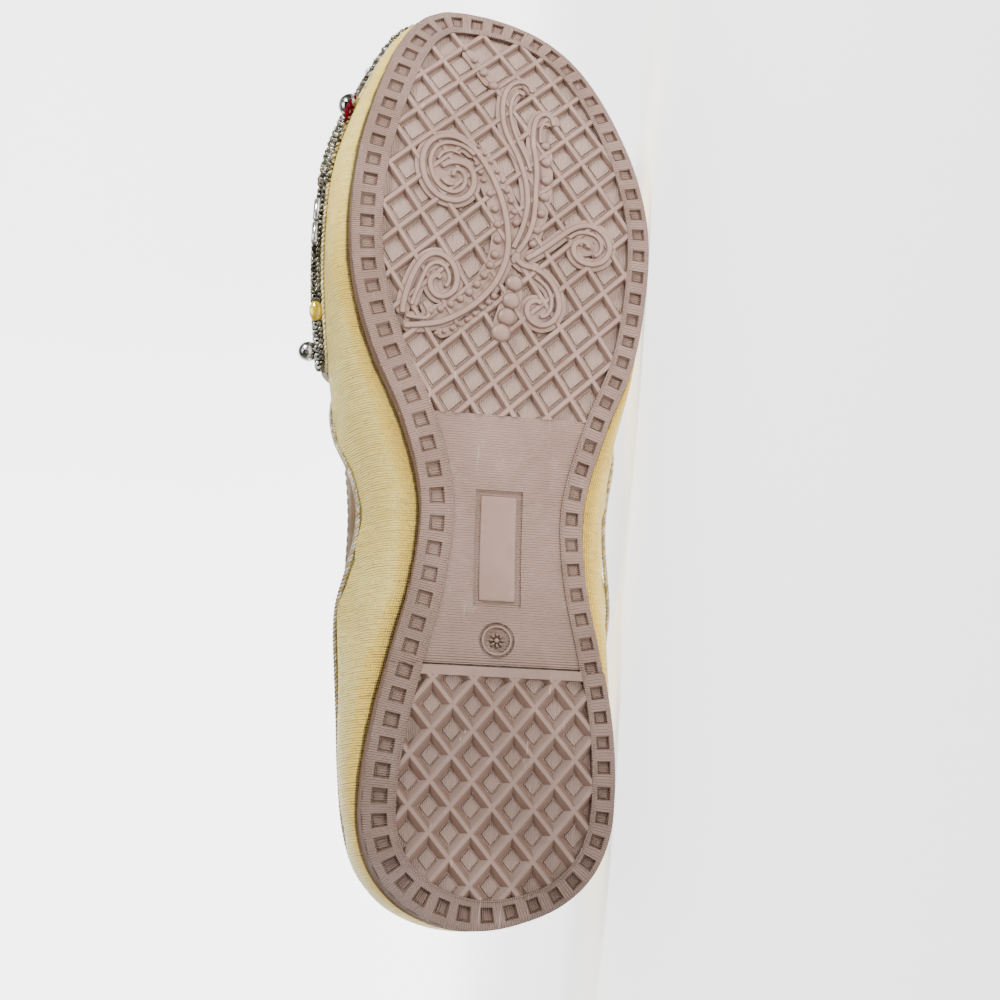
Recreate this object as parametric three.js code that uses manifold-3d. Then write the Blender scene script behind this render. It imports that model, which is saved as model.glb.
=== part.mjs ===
// A left mojari shoe: moulded rubber outsole, fabric upper with a beaded vamp, footbed and collar facing.
// The shoe is drawn with X from heel to toe, +Y to the lateral side and +Z up, then laid on its side.

import * as THREE from "three";
import { mergeVertices } from "three/addons/utils/BufferGeometryUtils.js";
import Module from "manifold-3d";

const wasm = await Module();
wasm.setup();

// Driving dimensions, in millimetres

const SOLE_LENGTH = 242;
const BALL_WIDTH = 78;
const INSTEP_HEIGHT = 46;
const BACK_HEIGHT = 52;
const TOE_SPRING = 14;
const SEAT_THICKNESS = 8.6;
const SPRING_START = 0.68 * SOLE_LENGTH;
const UPPER_WALL = 2.2;
const FACING_WALL = 1.2;
const FOOTBED_THICKNESS = 2.6;
const PANEL_THICKNESS = 1.5;
const CLEARANCE = 0.3;

const HEEL_BREAST = 0.252 * SOLE_LENGTH;
const FOREFOOT_START = 0.506 * SOLE_LENGTH;
const HEEL_STEP = 1.2;
const ARCH_RISE = 1.6;
const EDGE_ROUND = 0.6;

const RIM_MEDIAL = 8;
const RIM_LATERAL = 5.8;
const PIT_PITCH = 6.1;
const PIT_DEPTH = 1.1;
const PIT_MEDIAL = 3.9;
const PIT_LATERAL = 3.3;
const PIT_FLOOR = 0.8;

const CELL_LENGTH = 11.9;
const CELL_WIDTH = 9.9;
const RIB_WIDTH = 1.5;
const CELL_DEPTH = 1.5;
const CELL_FLOOR = 0.77;

const SHANK_RECESS = 0.4;
const GROOVE_DEPTH = 0.6;
const GROOVE_WIDTH = 1.4;
const PLATE_LENGTH = 29;
const PLATE_WIDTH = 11.8;
const RING_RADIUS = 4.4;
const ROSETTE_RADIUS = 1.85;
const PLATE_X = 0.374 * SOLE_LENGTH;
const RING_X = 0.28 * SOLE_LENGTH;
const SHANK_CENTRE = 0.015 * BALL_WIDTH;
const BAR_WIDTH = 3;
const HEEL_LATTICE = { x: 0.14 * SOLE_LENGTH, y: 0.006 * BALL_WIDTH, turn: 0 };
const FOREFOOT_LATTICE = { x: 0.62 * SOLE_LENGTH, y: 0.013 * BALL_WIDTH, turn: THREE.MathUtils.degToRad(7) };

const LASTING_MARGIN = 11;
const FACING_DEPTH = 11;
const TOE_OVERHANG = 2.2;
const BALL_RADIUS = 2.6;
const EDGE_SHOWN = 1.5;

const BACK_LEAN = 5;
const LEAN_REACH = 0.26 * SOLE_LENGTH;
const COLLAR_FLARE = 3.6;
const FLARE_CENTRE = 0.4 * SOLE_LENGTH;
const FLARE_REACH = 0.12 * SOLE_LENGTH;
const FLARE_LOW = 0.326 * INSTEP_HEIGHT;
const FLARE_HIGH = 0.63 * INSTEP_HEIGHT;
const LEAN_LOW = 0.385 * BACK_HEIGHT;
const LEAN_HIGH = 1.23 * BACK_HEIGHT;
const COLLAR_TUCK = 4.4;
const TUCK_FULL = 0.2 * SOLE_LENGTH;
const TUCK_END = 0.36 * SOLE_LENGTH;

const STATIONS = 29;
const HALF_WIDTH = BALL_WIDTH / 2;
const FAR = 2 * SOLE_LENGTH;
const WELD = 1e-4;

// Tables: a row per section. "round" runs from the heel (0) to the toe (1) by the angle of a half turn,
// so the ends come out round. The medial and lateral columns are shares of BALL_WIDTH.

const SOLE_EDGE = [
  { round: 0.0, medial: -0.037, lateral: -0.037 },
  { round: 0.05, medial: -0.155, lateral: 0.085 },
  { round: 0.1, medial: -0.262, lateral: 0.222 },
  { round: 0.15, medial: -0.342, lateral: 0.322 },
  { round: 0.2, medial: -0.382, lateral: 0.376 },
  { round: 0.25, medial: -0.38, lateral: 0.389 },
  { round: 0.3, medial: -0.352, lateral: 0.378 },
  { round: 0.35, medial: -0.303, lateral: 0.342 },
  { round: 0.4, medial: -0.25, lateral: 0.3 },
  { round: 0.45, medial: -0.234, lateral: 0.29 },
  { round: 0.5, medial: -0.299, lateral: 0.355 },
  { round: 0.55, medial: -0.408, lateral: 0.448 },
  { round: 0.6, medial: -0.476, lateral: 0.491 },
  { round: 0.65, medial: -0.491, lateral: 0.502 },
  { round: 0.7, medial: -0.473, lateral: 0.47 },
  { round: 0.75, medial: -0.432, lateral: 0.41 },
  { round: 0.8, medial: -0.385, lateral: 0.34 },
  { round: 0.85, medial: -0.336, lateral: 0.258 },
  { round: 0.9, medial: -0.28, lateral: 0.152 },
  { round: 0.95, medial: -0.212, lateral: 0.016 },
  { round: 1.0, medial: -0.136, lateral: -0.136 },
];

// Here medial and lateral are where the upper stands furthest out, "rise" is how high above the sole that is
// and "crown" the height of the last above the floor, both as shares of INSTEP_HEIGHT. Low and high are the
// roundness of the two quadrants.

const UPPER_SECTIONS = [
  { round: 0.0, medial: -0.037, lateral: -0.037, rise: 0.239, crown: 1.739, low: 2.2, high: 3.2 },
  { round: 0.05, medial: -0.168, lateral: 0.094, rise: 0.261, crown: 1.761, low: 2.2, high: 3.2 },
  { round: 0.1, medial: -0.284, lateral: 0.238, rise: 0.283, crown: 1.783, low: 2.2, high: 3.2 },
  { round: 0.15, medial: -0.364, lateral: 0.345, rise: 0.304, crown: 1.783, low: 2.2, high: 3.2 },
  { round: 0.2, medial: -0.41, lateral: 0.401, rise: 0.326, crown: 1.783, low: 2.2, high: 3.2 },
  { round: 0.25, medial: -0.432, lateral: 0.422, rise: 0.348, crown: 1.739, low: 2.2, high: 3.2 },
  { round: 0.3, medial: -0.44, lateral: 0.432, rise: 0.391, crown: 1.674, low: 2.1, high: 3.0 },
  { round: 0.35, medial: -0.432, lateral: 0.428, rise: 0.435, crown: 1.565, low: 2.0, high: 2.8 },
  { round: 0.4, medial: -0.42, lateral: 0.418, rise: 0.457, crown: 1.413, low: 1.9, high: 2.6 },
  { round: 0.45, medial: -0.416, lateral: 0.41, rise: 0.457, crown: 1.261, low: 1.9, high: 2.4 },
  { round: 0.5, medial: -0.462, lateral: 0.442, rise: 0.413, crown: 1.13, low: 2.0, high: 2.2 },
  { round: 0.55, medial: -0.518, lateral: 0.49, rise: 0.326, crown: 1.033, low: 2.0, high: 2.1 },
  { round: 0.6, medial: -0.547, lateral: 0.517, rise: 0.283, crown: 0.946, low: 2.1, high: 2.1 },
  { round: 0.65, medial: -0.551, lateral: 0.521, rise: 0.261, crown: 0.848, low: 2.2, high: 2.15 },
  { round: 0.7, medial: -0.535, lateral: 0.497, rise: 0.239, crown: 0.772, low: 2.2, high: 2.2 },
  { round: 0.75, medial: -0.486, lateral: 0.447, rise: 0.217, crown: 0.717, low: 2.2, high: 2.25 },
  { round: 0.8, medial: -0.426, lateral: 0.382, rise: 0.207, crown: 0.696, low: 2.2, high: 2.3 },
  { round: 0.85, medial: -0.371, lateral: 0.302, rise: 0.196, crown: 0.685, low: 2.2, high: 2.3 },
  { round: 0.9, medial: -0.312, lateral: 0.186, rise: 0.185, crown: 0.674, low: 2.2, high: 2.3 },
  { round: 0.95, medial: -0.229, lateral: 0.036, rise: 0.174, crown: 0.652, low: 2.2, high: 2.3 },
  { round: 1.0, medial: -0.136, lateral: -0.136, rise: 0.163, crown: 0.62, low: 2.2, high: 2.3 },
];

// How far the flat bottom of the last reaches past the sole's edge, as shares of BALL_WIDTH.

const FEATHER = [
  { at: 0.0, medial: -0.006, lateral: -0.006 },
  { at: 0.2, medial: 0.0, lateral: 0.0 },
  { at: 0.33, medial: 0.035, lateral: 0.02 },
  { at: 0.44, medial: 0.06, lateral: 0.03 },
  { at: 0.55, medial: 0.02, lateral: 0.01 },
  { at: 0.66, medial: -0.006, lateral: -0.006 },
  { at: 1.0, medial: -0.006, lateral: -0.006 },
];

// Thickness of the outsole above its tread line, as shares of SEAT_THICKNESS.

const SOLE_THICKNESS = [
  { at: 0.0, thick: 1.0 },
  { at: 0.2, thick: 0.953 },
  { at: 0.34, thick: 0.65 },
  { at: 0.46, thick: 0.535 },
  { at: 0.58, thick: 0.558 },
  { at: 0.8, thick: 0.535 },
  { at: 1.0, thick: 0.488 },
];

// Side views: "at" is a share of SOLE_LENGTH. The height above the floor is a share of BACK_HEIGHT and one of
// INSTEP_HEIGHT together. The fabric dips lower at the waist than the facing behind it.

const FABRIC_TOPLINE = [
  { at: -0.03, back: 1, instep: 0 },
  { at: 0.04, back: 0.988, instep: 0 },
  { at: 0.12, back: 0.5, instep: 0.435 },
  { at: 0.22, back: 0.2, instep: 0.578 },
  { at: 0.31, back: 0.05, instep: 0.563 },
  { at: 0.36, back: 0, instep: 0.457 },
  { at: 0.415, back: 0, instep: 0.376 },
  { at: 0.465, back: 0, instep: 0.424 },
  { at: 0.51, back: 0, instep: 0.565 },
  { at: 0.555, back: 0, instep: 0.696 },
  { at: 0.6, back: 0, instep: 0.83 },
  { at: 0.63, back: 0, instep: 0.922 },
  { at: 0.65, back: 0, instep: 0.978 },
  { at: 0.665, back: 0, instep: 1.087 },
];

const FACING_TOPLINE = [
  { at: -0.03, back: 0.981, instep: 0 },
  { at: 0.04, back: 0.969, instep: 0 },
  { at: 0.12, back: 0.5, instep: 0.413 },
  { at: 0.22, back: 0.2, instep: 0.557 },
  { at: 0.31, back: 0.05, instep: 0.596 },
  { at: 0.36, back: 0, instep: 0.641 },
  { at: 0.415, back: 0, instep: 0.641 },
  { at: 0.465, back: 0, instep: 0.648 },
  { at: 0.51, back: 0, instep: 0.652 },
  { at: 0.555, back: 0, instep: 0.704 },
  { at: 0.6, back: 0, instep: 0.813 },
  { at: 0.625, back: 0, instep: 0.891 },
  { at: 0.645, back: 0, instep: 0.957 },
  { at: 0.66, back: 0, instep: 1.087 },
];

// The beaded panel comes lower on the medial side than on the lateral one. Shares of INSTEP_HEIGHT.

const PANEL_LOWER_EDGE = [
  { at: 0.56, medial: 0.783, lateral: 0.87 },
  { at: 0.575, medial: 0.543, lateral: 0.783 },
  { at: 0.62, medial: 0.424, lateral: 0.707 },
  { at: 0.7, medial: 0.391, lateral: 0.652 },
  { at: 0.8, medial: 0.402, lateral: 0.598 },
  { at: 0.88, medial: 0.478, lateral: 0.587 },
  { at: 0.95, medial: 0.554, lateral: 0.598 },
  { at: 1.03, medial: 0.609, lateral: 0.609 },
];

// Where the silver balls sit: a share of the length, and one of INSTEP_HEIGHT.

const SILVER_BALLS = [
  { at: 0.873, height: 0.533 },
  { at: 0.594, height: 0.533 },
];

// Reads a table's column at a place with a smooth curve through its rows.

function read(table, key, column, at) {
  const last = table.length - 1;
  if (at <= table[0][key]) return table[0][column];
  if (at >= table[last][key]) return table[last][column];
  let row = 0;
  while (at > table[row + 1][key]) row += 1;
  const slope = (index) => {
    const before = table[Math.max(0, index - 1)];
    const after = table[Math.min(last, index + 1)];
    return (after[column] - before[column]) / (after[key] - before[key]);
  };
  const start = table[row];
  const end = table[row + 1];
  const span = end[key] - start[key];
  const t = (at - start[key]) / span;
  const t2 = t * t;
  const t3 = t2 * t;
  return (
    start[column] * (2 * t3 - 3 * t2 + 1) +
    slope(row) * span * (t3 - 2 * t2 + t) +
    end[column] * (3 * t2 - 2 * t3) +
    slope(row + 1) * span * (t3 - t2)
  );
}

function alongLength(round) {
  return (1 - Math.cos(Math.PI * round)) / 2;
}

function roundAt(share) {
  return Math.acos(1 - 2 * THREE.MathUtils.clamp(share, 0, 1)) / Math.PI;
}

function soleEdge(round, side) {
  return BALL_WIDTH * read(SOLE_EDGE, "round", side, round);
}

function treadHeight(x) {
  const past = Math.max(0, (x - SPRING_START) / (SOLE_LENGTH - SPRING_START));
  const between = (x - HEEL_BREAST) / (FOREFOOT_START - HEEL_BREAST);
  const arch = between > 0 && between < 1 ? ARCH_RISE * Math.sin(Math.PI * between) ** 2 : 0;
  return TOE_SPRING * past * past + arch;
}

// The shank's face starts a step above the heel's tread and runs out into the forefoot.

function treadFace(x) {
  if (x <= HEEL_BREAST) return treadHeight(x);
  return treadHeight(x) + HEEL_STEP * (1 - THREE.MathUtils.smoothstep(x, HEEL_BREAST, FOREFOOT_START));
}

function treadSlope(x) {
  return Math.atan2(treadFace(x + 1) - treadFace(x - 1), 2);
}

function soleTop(x) {
  const past = Math.max(0, (x - SPRING_START) / (SOLE_LENGTH - SPRING_START));
  return TOE_SPRING * past * past + SEAT_THICKNESS * read(SOLE_THICKNESS, "at", "thick", x / SOLE_LENGTH);
}

// Solids from meshes

function solidOf(geometry) {
  const bare = new THREE.BufferGeometry();
  bare.setAttribute("position", geometry.getAttribute("position"));
  if (geometry.index) bare.setIndex(geometry.index);
  const merged = mergeVertices(bare, WELD);
  const corners = merged.index.array;
  const kept = [];
  for (let i = 0; i < corners.length; i += 3) {
    const [a, b, c] = [corners[i], corners[i + 1], corners[i + 2]];
    if (a !== b && b !== c && c !== a) kept.push(a, b, c);
  }
  return new wasm.Manifold(
    new wasm.Mesh({
      numProp: 3,
      vertProperties: new Float32Array(merged.getAttribute("position").array),
      triVerts: new Uint32Array(kept),
    }),
  );
}

function geometryOf(solid) {
  const mesh = solid.getMesh();
  const geometry = new THREE.BufferGeometry();
  geometry.setAttribute("position", new THREE.BufferAttribute(new Float32Array(mesh.vertProperties), 3));
  geometry.setIndex(new THREE.BufferAttribute(new Uint32Array(mesh.triVerts), 1));
  geometry.computeVertexNormals();
  return geometry;
}

// Joins closed rings, given as lists of Vector3, into a closed skin. The first and the last ring are folded
// flat, so they close the ends.

function loft(rings) {
  const count = rings[0].length;
  const positions = [];
  const index = [];
  rings.forEach((ring) => ring.forEach((point) => positions.push(point.x, point.y, point.z)));
  for (let row = 0; row < rings.length - 1; row += 1) {
    for (let j = 0; j < count; j += 1) {
      const a = row * count + j;
      const b = row * count + ((j + 1) % count);
      index.push(a, a + count, b, b, a + count, b + count);
    }
  }
  const geometry = new THREE.BufferGeometry();
  geometry.setAttribute("position", new THREE.Float32BufferAttribute(positions, 3));
  geometry.setIndex(index);
  return solidOf(geometry);
}

// A straight-sided tool from a side view, given as [x, z] corners, right through the shoe.

function sideTool(corners) {
  const shape = new THREE.Shape(corners.map(([x, z]) => new THREE.Vector2(x, z)));
  const geometry = new THREE.ExtrudeGeometry(shape, { depth: FAR, bevelEnabled: false });
  geometry.translate(0, 0, -FAR / 2);
  geometry.rotateX(Math.PI / 2);
  return solidOf(geometry);
}

// A straight-sided tool from a plan view, given as [x, y] corners, right through the shoe.

function planTool(corners) {
  const shape = new THREE.Shape(corners.map(([x, y]) => new THREE.Vector2(x, y)));
  const geometry = new THREE.ExtrudeGeometry(shape, { depth: FAR, bevelEnabled: false });
  geometry.translate(0, 0, -FAR / 2);
  return solidOf(geometry);
}

function crossBand(from, to) {
  return planTool([[from, -HALF_WIDTH], [to, -HALF_WIDTH], [to, HALF_WIDTH], [from, HALF_WIDTH]]);
}

// Outline of the sole in plan, moved inwards by a width that may differ on the two sides.

function insetOutline(medialWidth, lateralWidth, points = 60) {
  const edge = [];
  for (let i = 0; i < points; i += 1) {
    const round = (2 * i) / points;
    const side = round <= 1 ? "lateral" : "medial";
    const along = round <= 1 ? round : 2 - round;
    edge.push([SOLE_LENGTH * alongLength(along), soleEdge(along, side)]);
  }
  return edge.map(([x, y], i) => {
    const before = edge[(i + points - 1) % points];
    const after = edge[(i + 1) % points];
    const dx = after[0] - before[0];
    const dy = after[1] - before[1];
    const size = Math.hypot(dx, dy);
    const lateralShare = THREE.MathUtils.smoothstep(y, -HALF_WIDTH * 0.5, HALF_WIDTH * 0.5);
    const width = THREE.MathUtils.lerp(medialWidth, lateralWidth, lateralShare);
    return [x + (dy / size) * width, y - (dx / size) * width];
  });
}

// A pocket with four sloping sides, its mouth on the tread and its floor inside the sole.

function pocket(x, y, mouthLength, mouthWidth, floorShare, depth, turn, diamond) {
  const above = 0.8 * depth;
  const spread = 1 + ((1 - floorShare) * above) / depth;
  const ring = (scale, z) => {
    const a = (mouthLength / 2) * scale;
    const b = (mouthWidth / 2) * scale;
    const corners = diamond
      ? [[a, 0], [0, b], [-a, 0], [0, -b]]
      : [[a, b], [-a, b], [-a, -b], [a, -b]];
    return corners.map(([u, v]) => new THREE.Vector3(u, v, z));
  };
  const low = ring(spread, -above);
  const high = ring(floorShare, depth);
  const positions = [...low, ...high].flatMap((p) => [p.x, p.y, p.z]);
  const index = [0, 2, 1, 0, 3, 2, 4, 5, 6, 4, 6, 7];
  for (let j = 0; j < 4; j += 1) {
    const next = (j + 1) % 4;
    index.push(j, next, next + 4, j, next + 4, j + 4);
  }
  const geometry = new THREE.BufferGeometry();
  geometry.setAttribute("position", new THREE.Float32BufferAttribute(positions, 3));
  geometry.setIndex(index);
  geometry.rotateZ(turn);
  geometry.rotateY(-treadSlope(x));
  geometry.translate(x, y, treadFace(x));
  return solidOf(geometry);
}

// Outsole

function outsoleBody() {
  const rings = [];
  const breast = roundAt(HEEL_BREAST / SOLE_LENGTH);
  const step = 0.0035;
  const rounds = Array.from({ length: STATIONS + 1 }, (_, i) => i / STATIONS);
  rounds.push(breast, breast + step);
  rounds.sort((a, b) => a - b);
  rounds.forEach((round) => {
    const x = SOLE_LENGTH * alongLength(round);
    const medial = soleEdge(round, "medial");
    const lateral = soleEdge(round, "lateral");
    const low = round === breast ? treadHeight(x) : treadFace(x);
    const high = soleTop(x);
    const ease = Math.min(EDGE_ROUND, (lateral - medial) / 4);
    rings.push([
      new THREE.Vector3(x, medial + ease, low),
      new THREE.Vector3(x, medial, low + ease),
      new THREE.Vector3(x, medial, high),
      new THREE.Vector3(x, lateral, high),
      new THREE.Vector3(x, lateral, low + ease),
      new THREE.Vector3(x, lateral - ease, low),
    ]);
  });
  return loft(rings);
}

function latticePockets(centre, field) {
  const solids = [];
  const reach = Math.ceil(SOLE_LENGTH / CELL_LENGTH);
  const { turn } = centre;
  const cellAngle = Math.atan2(CELL_WIDTH, CELL_LENGTH);
  const mouthLength = CELL_LENGTH - RIB_WIDTH / Math.sin(cellAngle);
  const mouthWidth = CELL_WIDTH - RIB_WIDTH / Math.cos(cellAngle);
  for (let row = -reach; row <= reach; row += 1) {
    for (let column = -reach; column <= reach; column += 1) {
      if ((row + column) % 2 !== 0) continue;
      const along = (row * CELL_LENGTH) / 2;
      const across = (column * CELL_WIDTH) / 2;
      const x = centre.x + along * Math.cos(turn) - across * Math.sin(turn);
      const y = centre.y + along * Math.sin(turn) + across * Math.cos(turn);
      if (x < 0 || x > SOLE_LENGTH || Math.abs(y) > HALF_WIDTH) continue;
      solids.push(pocket(x, y, mouthLength, mouthWidth, CELL_FLOOR, CELL_DEPTH, turn, true));
    }
  }
  return wasm.Manifold.union(solids).intersect(field);
}

function rimPits() {
  const solids = [];
  const line = insetOutline(RIM_MEDIAL / 2, RIM_LATERAL / 2, 480);
  let walked = PIT_PITCH / 2;
  for (let i = 0; i < line.length; i += 1) {
    const [x0, y0] = line[i];
    const [x1, y1] = line[(i + 1) % line.length];
    const size = Math.hypot(x1 - x0, y1 - y0);
    walked += size;
    if (walked < PIT_PITCH) continue;
    walked -= PIT_PITCH;
    if (Math.abs(x0 - HEEL_BREAST) < PIT_PITCH / 2) continue;
    const lateralShare = THREE.MathUtils.smoothstep(y0, -HALF_WIDTH * 0.5, HALF_WIDTH * 0.5);
    const width = THREE.MathUtils.lerp(PIT_MEDIAL, PIT_LATERAL, lateralShare);
    const turn = Math.atan2(y1 - y0, x1 - x0);
    solids.push(pocket(x0, y0, width, width, PIT_FLOOR, PIT_DEPTH, turn, false));
  }
  return wasm.Manifold.union(solids);
}

function rectangle(cx, cy, length, width) {
  const [a, b] = [length / 2, width / 2];
  return [[cx - a, cy - b], [cx + a, cy - b], [cx + a, cy + b], [cx - a, cy + b]];
}

function circle(cx, cy, radius, points = 20) {
  return Array.from({ length: points }, (_, i) => {
    const angle = (2 * Math.PI * i) / points;
    return [cx + radius * Math.cos(angle), cy + radius * Math.sin(angle)];
  });
}

// Everything below the shank's face, at a depth under the tread.

function shankSlab(depth) {
  const corners = [];
  const steps = 24;
  for (let i = 0; i <= steps; i += 1) {
    const x = HEEL_BREAST + ((FOREFOOT_START - HEEL_BREAST) * i) / steps;
    corners.push([x, treadFace(x + WELD) + depth]);
  }
  corners.push([FOREFOOT_START, -HALF_WIDTH], [HEEL_BREAST, -HALF_WIDTH]);
  return sideTool(corners);
}

// The shank is a shallow recess. Deeper in it, a groove runs round a blank plate, and a round pocket holds a
// plain rosette.

function shankRecess(inside) {
  const plate = [PLATE_LENGTH - 2 * GROOVE_WIDTH, PLATE_WIDTH - 2 * GROOVE_WIDTH];
  const groove = planTool(rectangle(PLATE_X, SHANK_CENTRE, PLATE_LENGTH, PLATE_WIDTH))
    .subtract(planTool(rectangle(PLATE_X, SHANK_CENTRE, ...plate)));
  const ring = planTool(circle(RING_X, SHANK_CENTRE, RING_RADIUS))
    .subtract(planTool(circle(RING_X, SHANK_CENTRE, ROSETTE_RADIUS, 12)));
  const field = crossBand(HEEL_BREAST + BAR_WIDTH, FOREFOOT_START - BAR_WIDTH / 2).intersect(inside);
  return field
    .intersect(shankSlab(SHANK_RECESS))
    .add(groove.add(ring).intersect(shankSlab(SHANK_RECESS + GROOVE_DEPTH)));
}

function buildOutsole() {
  const inside = planTool(insetOutline(RIM_MEDIAL, RIM_LATERAL));
  const heelField = crossBand(0, HEEL_BREAST - BAR_WIDTH).intersect(inside);
  const forefootField = crossBand(FOREFOOT_START + BAR_WIDTH / 2, SOLE_LENGTH).intersect(inside);
  const heel = latticePockets(HEEL_LATTICE, heelField);
  const forefoot = latticePockets(FOREFOOT_LATTICE, forefootField);
  return outsoleBody()
    .subtract(heel)
    .subtract(forefoot)
    .subtract(rimPits())
    .subtract(shankRecess(inside));
}

// The edge of the last's flat bottom.

function bottomEdge(round, side) {
  const reach = BALL_WIDTH * read(FEATHER, "at", side, alongLength(round));
  const ends = Math.min(1, 6 * Math.sin(Math.PI * round));
  return soleEdge(round, side) + (side === "medial" ? -reach : reach) * ends;
}

// The last's skin: one section of the upper, grown outwards or, with a negative growth, inwards.

function upperSection(round, growth) {
  const section = (column) => read(UPPER_SECTIONS, "round", column, round);
  const share = alongLength(round);
  const flatX = SOLE_LENGTH * share;
  const wideX = -growth + (SOLE_LENGTH + TOE_OVERHANG + 2 * growth) * share;
  const seat = soleTop(flatX) + CLEARANCE - Math.min(0, growth);
  const wideHeight = soleTop(flatX) + CLEARANCE + INSTEP_HEIGHT * section("rise");
  const crown = INSTEP_HEIGHT * section("crown") + growth;
  const swell = 1 + growth / HALF_WIDTH;
  const centre = (BALL_WIDTH * (section("medial") + section("lateral"))) / 2;
  const steps = { low: 5, high: 5 };
  const bottomCentre = (soleEdge(round, "medial") + soleEdge(round, "lateral")) / 2;
  const half = (side) => {
    const feather = bottomEdge(round, side);
    const wide = centre + (BALL_WIDTH * section(side) - centre) * swell;
    const points = [];
    for (let i = 0; i <= steps.low; i += 1) {
      const angle = (Math.PI / 2) * (i / steps.low);
      const out = Math.sin(angle) ** (2 / section("low"));
      const up = 1 - Math.cos(angle) ** (2 / section("low"));
      points.push(new THREE.Vector3(
        THREE.MathUtils.lerp(flatX, wideX, out),
        THREE.MathUtils.lerp(feather, wide, out),
        THREE.MathUtils.lerp(seat, wideHeight, up),
      ));
    }
    for (let i = 1; i <= steps.high; i += 1) {
      const angle = (Math.PI / 2) * (i / steps.high);
      const out = Math.max(0, Math.cos(angle)) ** (2 / section("high"));
      const up = Math.sin(angle) ** (2 / section("high"));
      points.push(new THREE.Vector3(
        wideX,
        THREE.MathUtils.lerp(centre, wide, out),
        THREE.MathUtils.lerp(wideHeight, crown, up),
      ));
    }
    return points;
  };
  const medial = half("medial");
  const lateral = half("lateral");
  lateral.pop();
  const ring = [new THREE.Vector3(flatX, bottomCentre, seat), ...medial, ...lateral.reverse()];
  return ring.map((point) => shapeOf(point, centre));
}

// The back leans forward over the heel, the medial quarter tucks in above it and the collar opens outwards at
// the waist.

function shapeOf(point, centre) {
  const { x, y, z } = point;
  const fade = Math.max(0, 1 - x / LEAN_REACH) ** 2;
  const lean = BACK_LEAN * THREE.MathUtils.smoothstep(z, LEAN_LOW, LEAN_HIGH) * fade;
  const near = Math.exp(-(((x - FLARE_CENTRE) / FLARE_REACH) ** 2));
  const out = (y - centre) / HALF_WIDTH;
  const flare = COLLAR_FLARE * near * out * THREE.MathUtils.smoothstep(z, FLARE_LOW, FLARE_HIGH);
  const heel = 1 - THREE.MathUtils.smoothstep(x, TUCK_FULL, TUCK_END);
  const tuck = -COLLAR_TUCK * heel * Math.min(0, out) * THREE.MathUtils.smoothstep(z, FLARE_LOW, BACK_HEIGHT);
  return new THREE.Vector3(x + lean, y + flare + tuck, z);
}

function lastForm(growth) {
  const rings = [];
  for (let i = 0; i <= STATIONS; i += 1) rings.push(upperSection(i / STATIONS, growth));
  return loft(rings);
}

// Side view of a curve as [x, z] corners, and a tool that covers everything above a topline.

function sideCurve(table, heightAt, steps) {
  const from = table[0].at;
  const to = table[table.length - 1].at;
  return Array.from({ length: steps + 1 }, (_, i) => {
    const at = from + ((to - from) * i) / steps;
    return [at * SOLE_LENGTH, heightAt(at)];
  });
}

function aboveTopline(table, dx = 0, dz = 0) {
  const heightAt = (at) =>
    BACK_HEIGHT * read(table, "at", "back", at) + INSTEP_HEIGHT * read(table, "at", "instep", at);
  const corners = sideCurve(table, heightAt, 24).map(([x, z]) => [x + dx, z + dz]);
  const [startX, startZ] = corners[0];
  const [endX] = corners[corners.length - 1];
  const behind = startX - HALF_WIDTH;
  return sideTool([...corners, [endX, FAR / 2], [behind, FAR / 2], [behind, startZ]]);
}

// The opening underneath, inside the strip of fabric that is lasted under.

function lastingOpening() {
  const medial = [];
  const lateral = [];
  const steps = 12;
  for (let i = 0; i <= steps; i += 1) {
    const x = THREE.MathUtils.lerp(LASTING_MARGIN, SOLE_LENGTH - 2 * LASTING_MARGIN, i / steps);
    const share = x / SOLE_LENGTH;
    const low = soleEdge(roundAt(share), "medial");
    const high = soleEdge(roundAt(share), "lateral");
    const half = Math.max(1, (high - low) / 2 - LASTING_MARGIN);
    medial.push([x, (low + high) / 2 - half]);
    lateral.push([x, (low + high) / 2 + half]);
  }
  return planTool([...medial, ...lateral.reverse()]);
}

function buildUpper() {
  const outer = lastForm(0);
  const inner = lastForm(-UPPER_WALL);
  const margin = lastingOpening();
  const low = -SEAT_THICKNESS;
  const heel = 2 * SEAT_THICKNESS;
  const toe = TOE_SPRING + SEAT_THICKNESS + UPPER_WALL;
  const below = sideTool([[0, low], [SOLE_LENGTH, low], [SOLE_LENGTH, toe], [0, heel]]);
  return outer.subtract(inner).subtract(margin.intersect(below)).subtract(aboveTopline(FABRIC_TOPLINE));
}

function buildFacing() {
  const outer = lastForm(-(UPPER_WALL + CLEARANCE));
  const inner = lastForm(-(UPPER_WALL + CLEARANCE + FACING_WALL));
  const band = aboveTopline(FACING_TOPLINE, FACING_DEPTH * 0.45, -FACING_DEPTH)
    .subtract(aboveTopline(FACING_TOPLINE));
  return outer.subtract(inner).intersect(band);
}

function buildPanel() {
  const inner = lastForm(CLEARANCE);
  const outer = lastForm(CLEARANCE + PANEL_THICKNESS);
  const toeCentre = soleEdge(1, "medial");
  const regionOf = (side) => {
    const heightAt = (at) => INSTEP_HEIGHT * read(PANEL_LOWER_EDGE, "at", side, at);
    const corners = sideCurve(PANEL_LOWER_EDGE, heightAt, 20);
    const [startX] = corners[0];
    const [endX] = corners[corners.length - 1];
    const away = side === "medial" ? -HALF_WIDTH * 2 : HALF_WIDTH * 2;
    const half = planTool([[0, toeCentre], [FAR, toeCentre], [FAR, away], [0, away]]);
    return sideTool([...corners, [endX, FAR / 2], [startX, FAR / 2]]).intersect(half);
  };
  const region = regionOf("medial").add(regionOf("lateral"));
  const fabricEdge = aboveTopline(FABRIC_TOPLINE, EDGE_SHOWN, -EDGE_SHOWN / 2);
  return outer.subtract(inner).intersect(region).subtract(fabricEdge);
}

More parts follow.
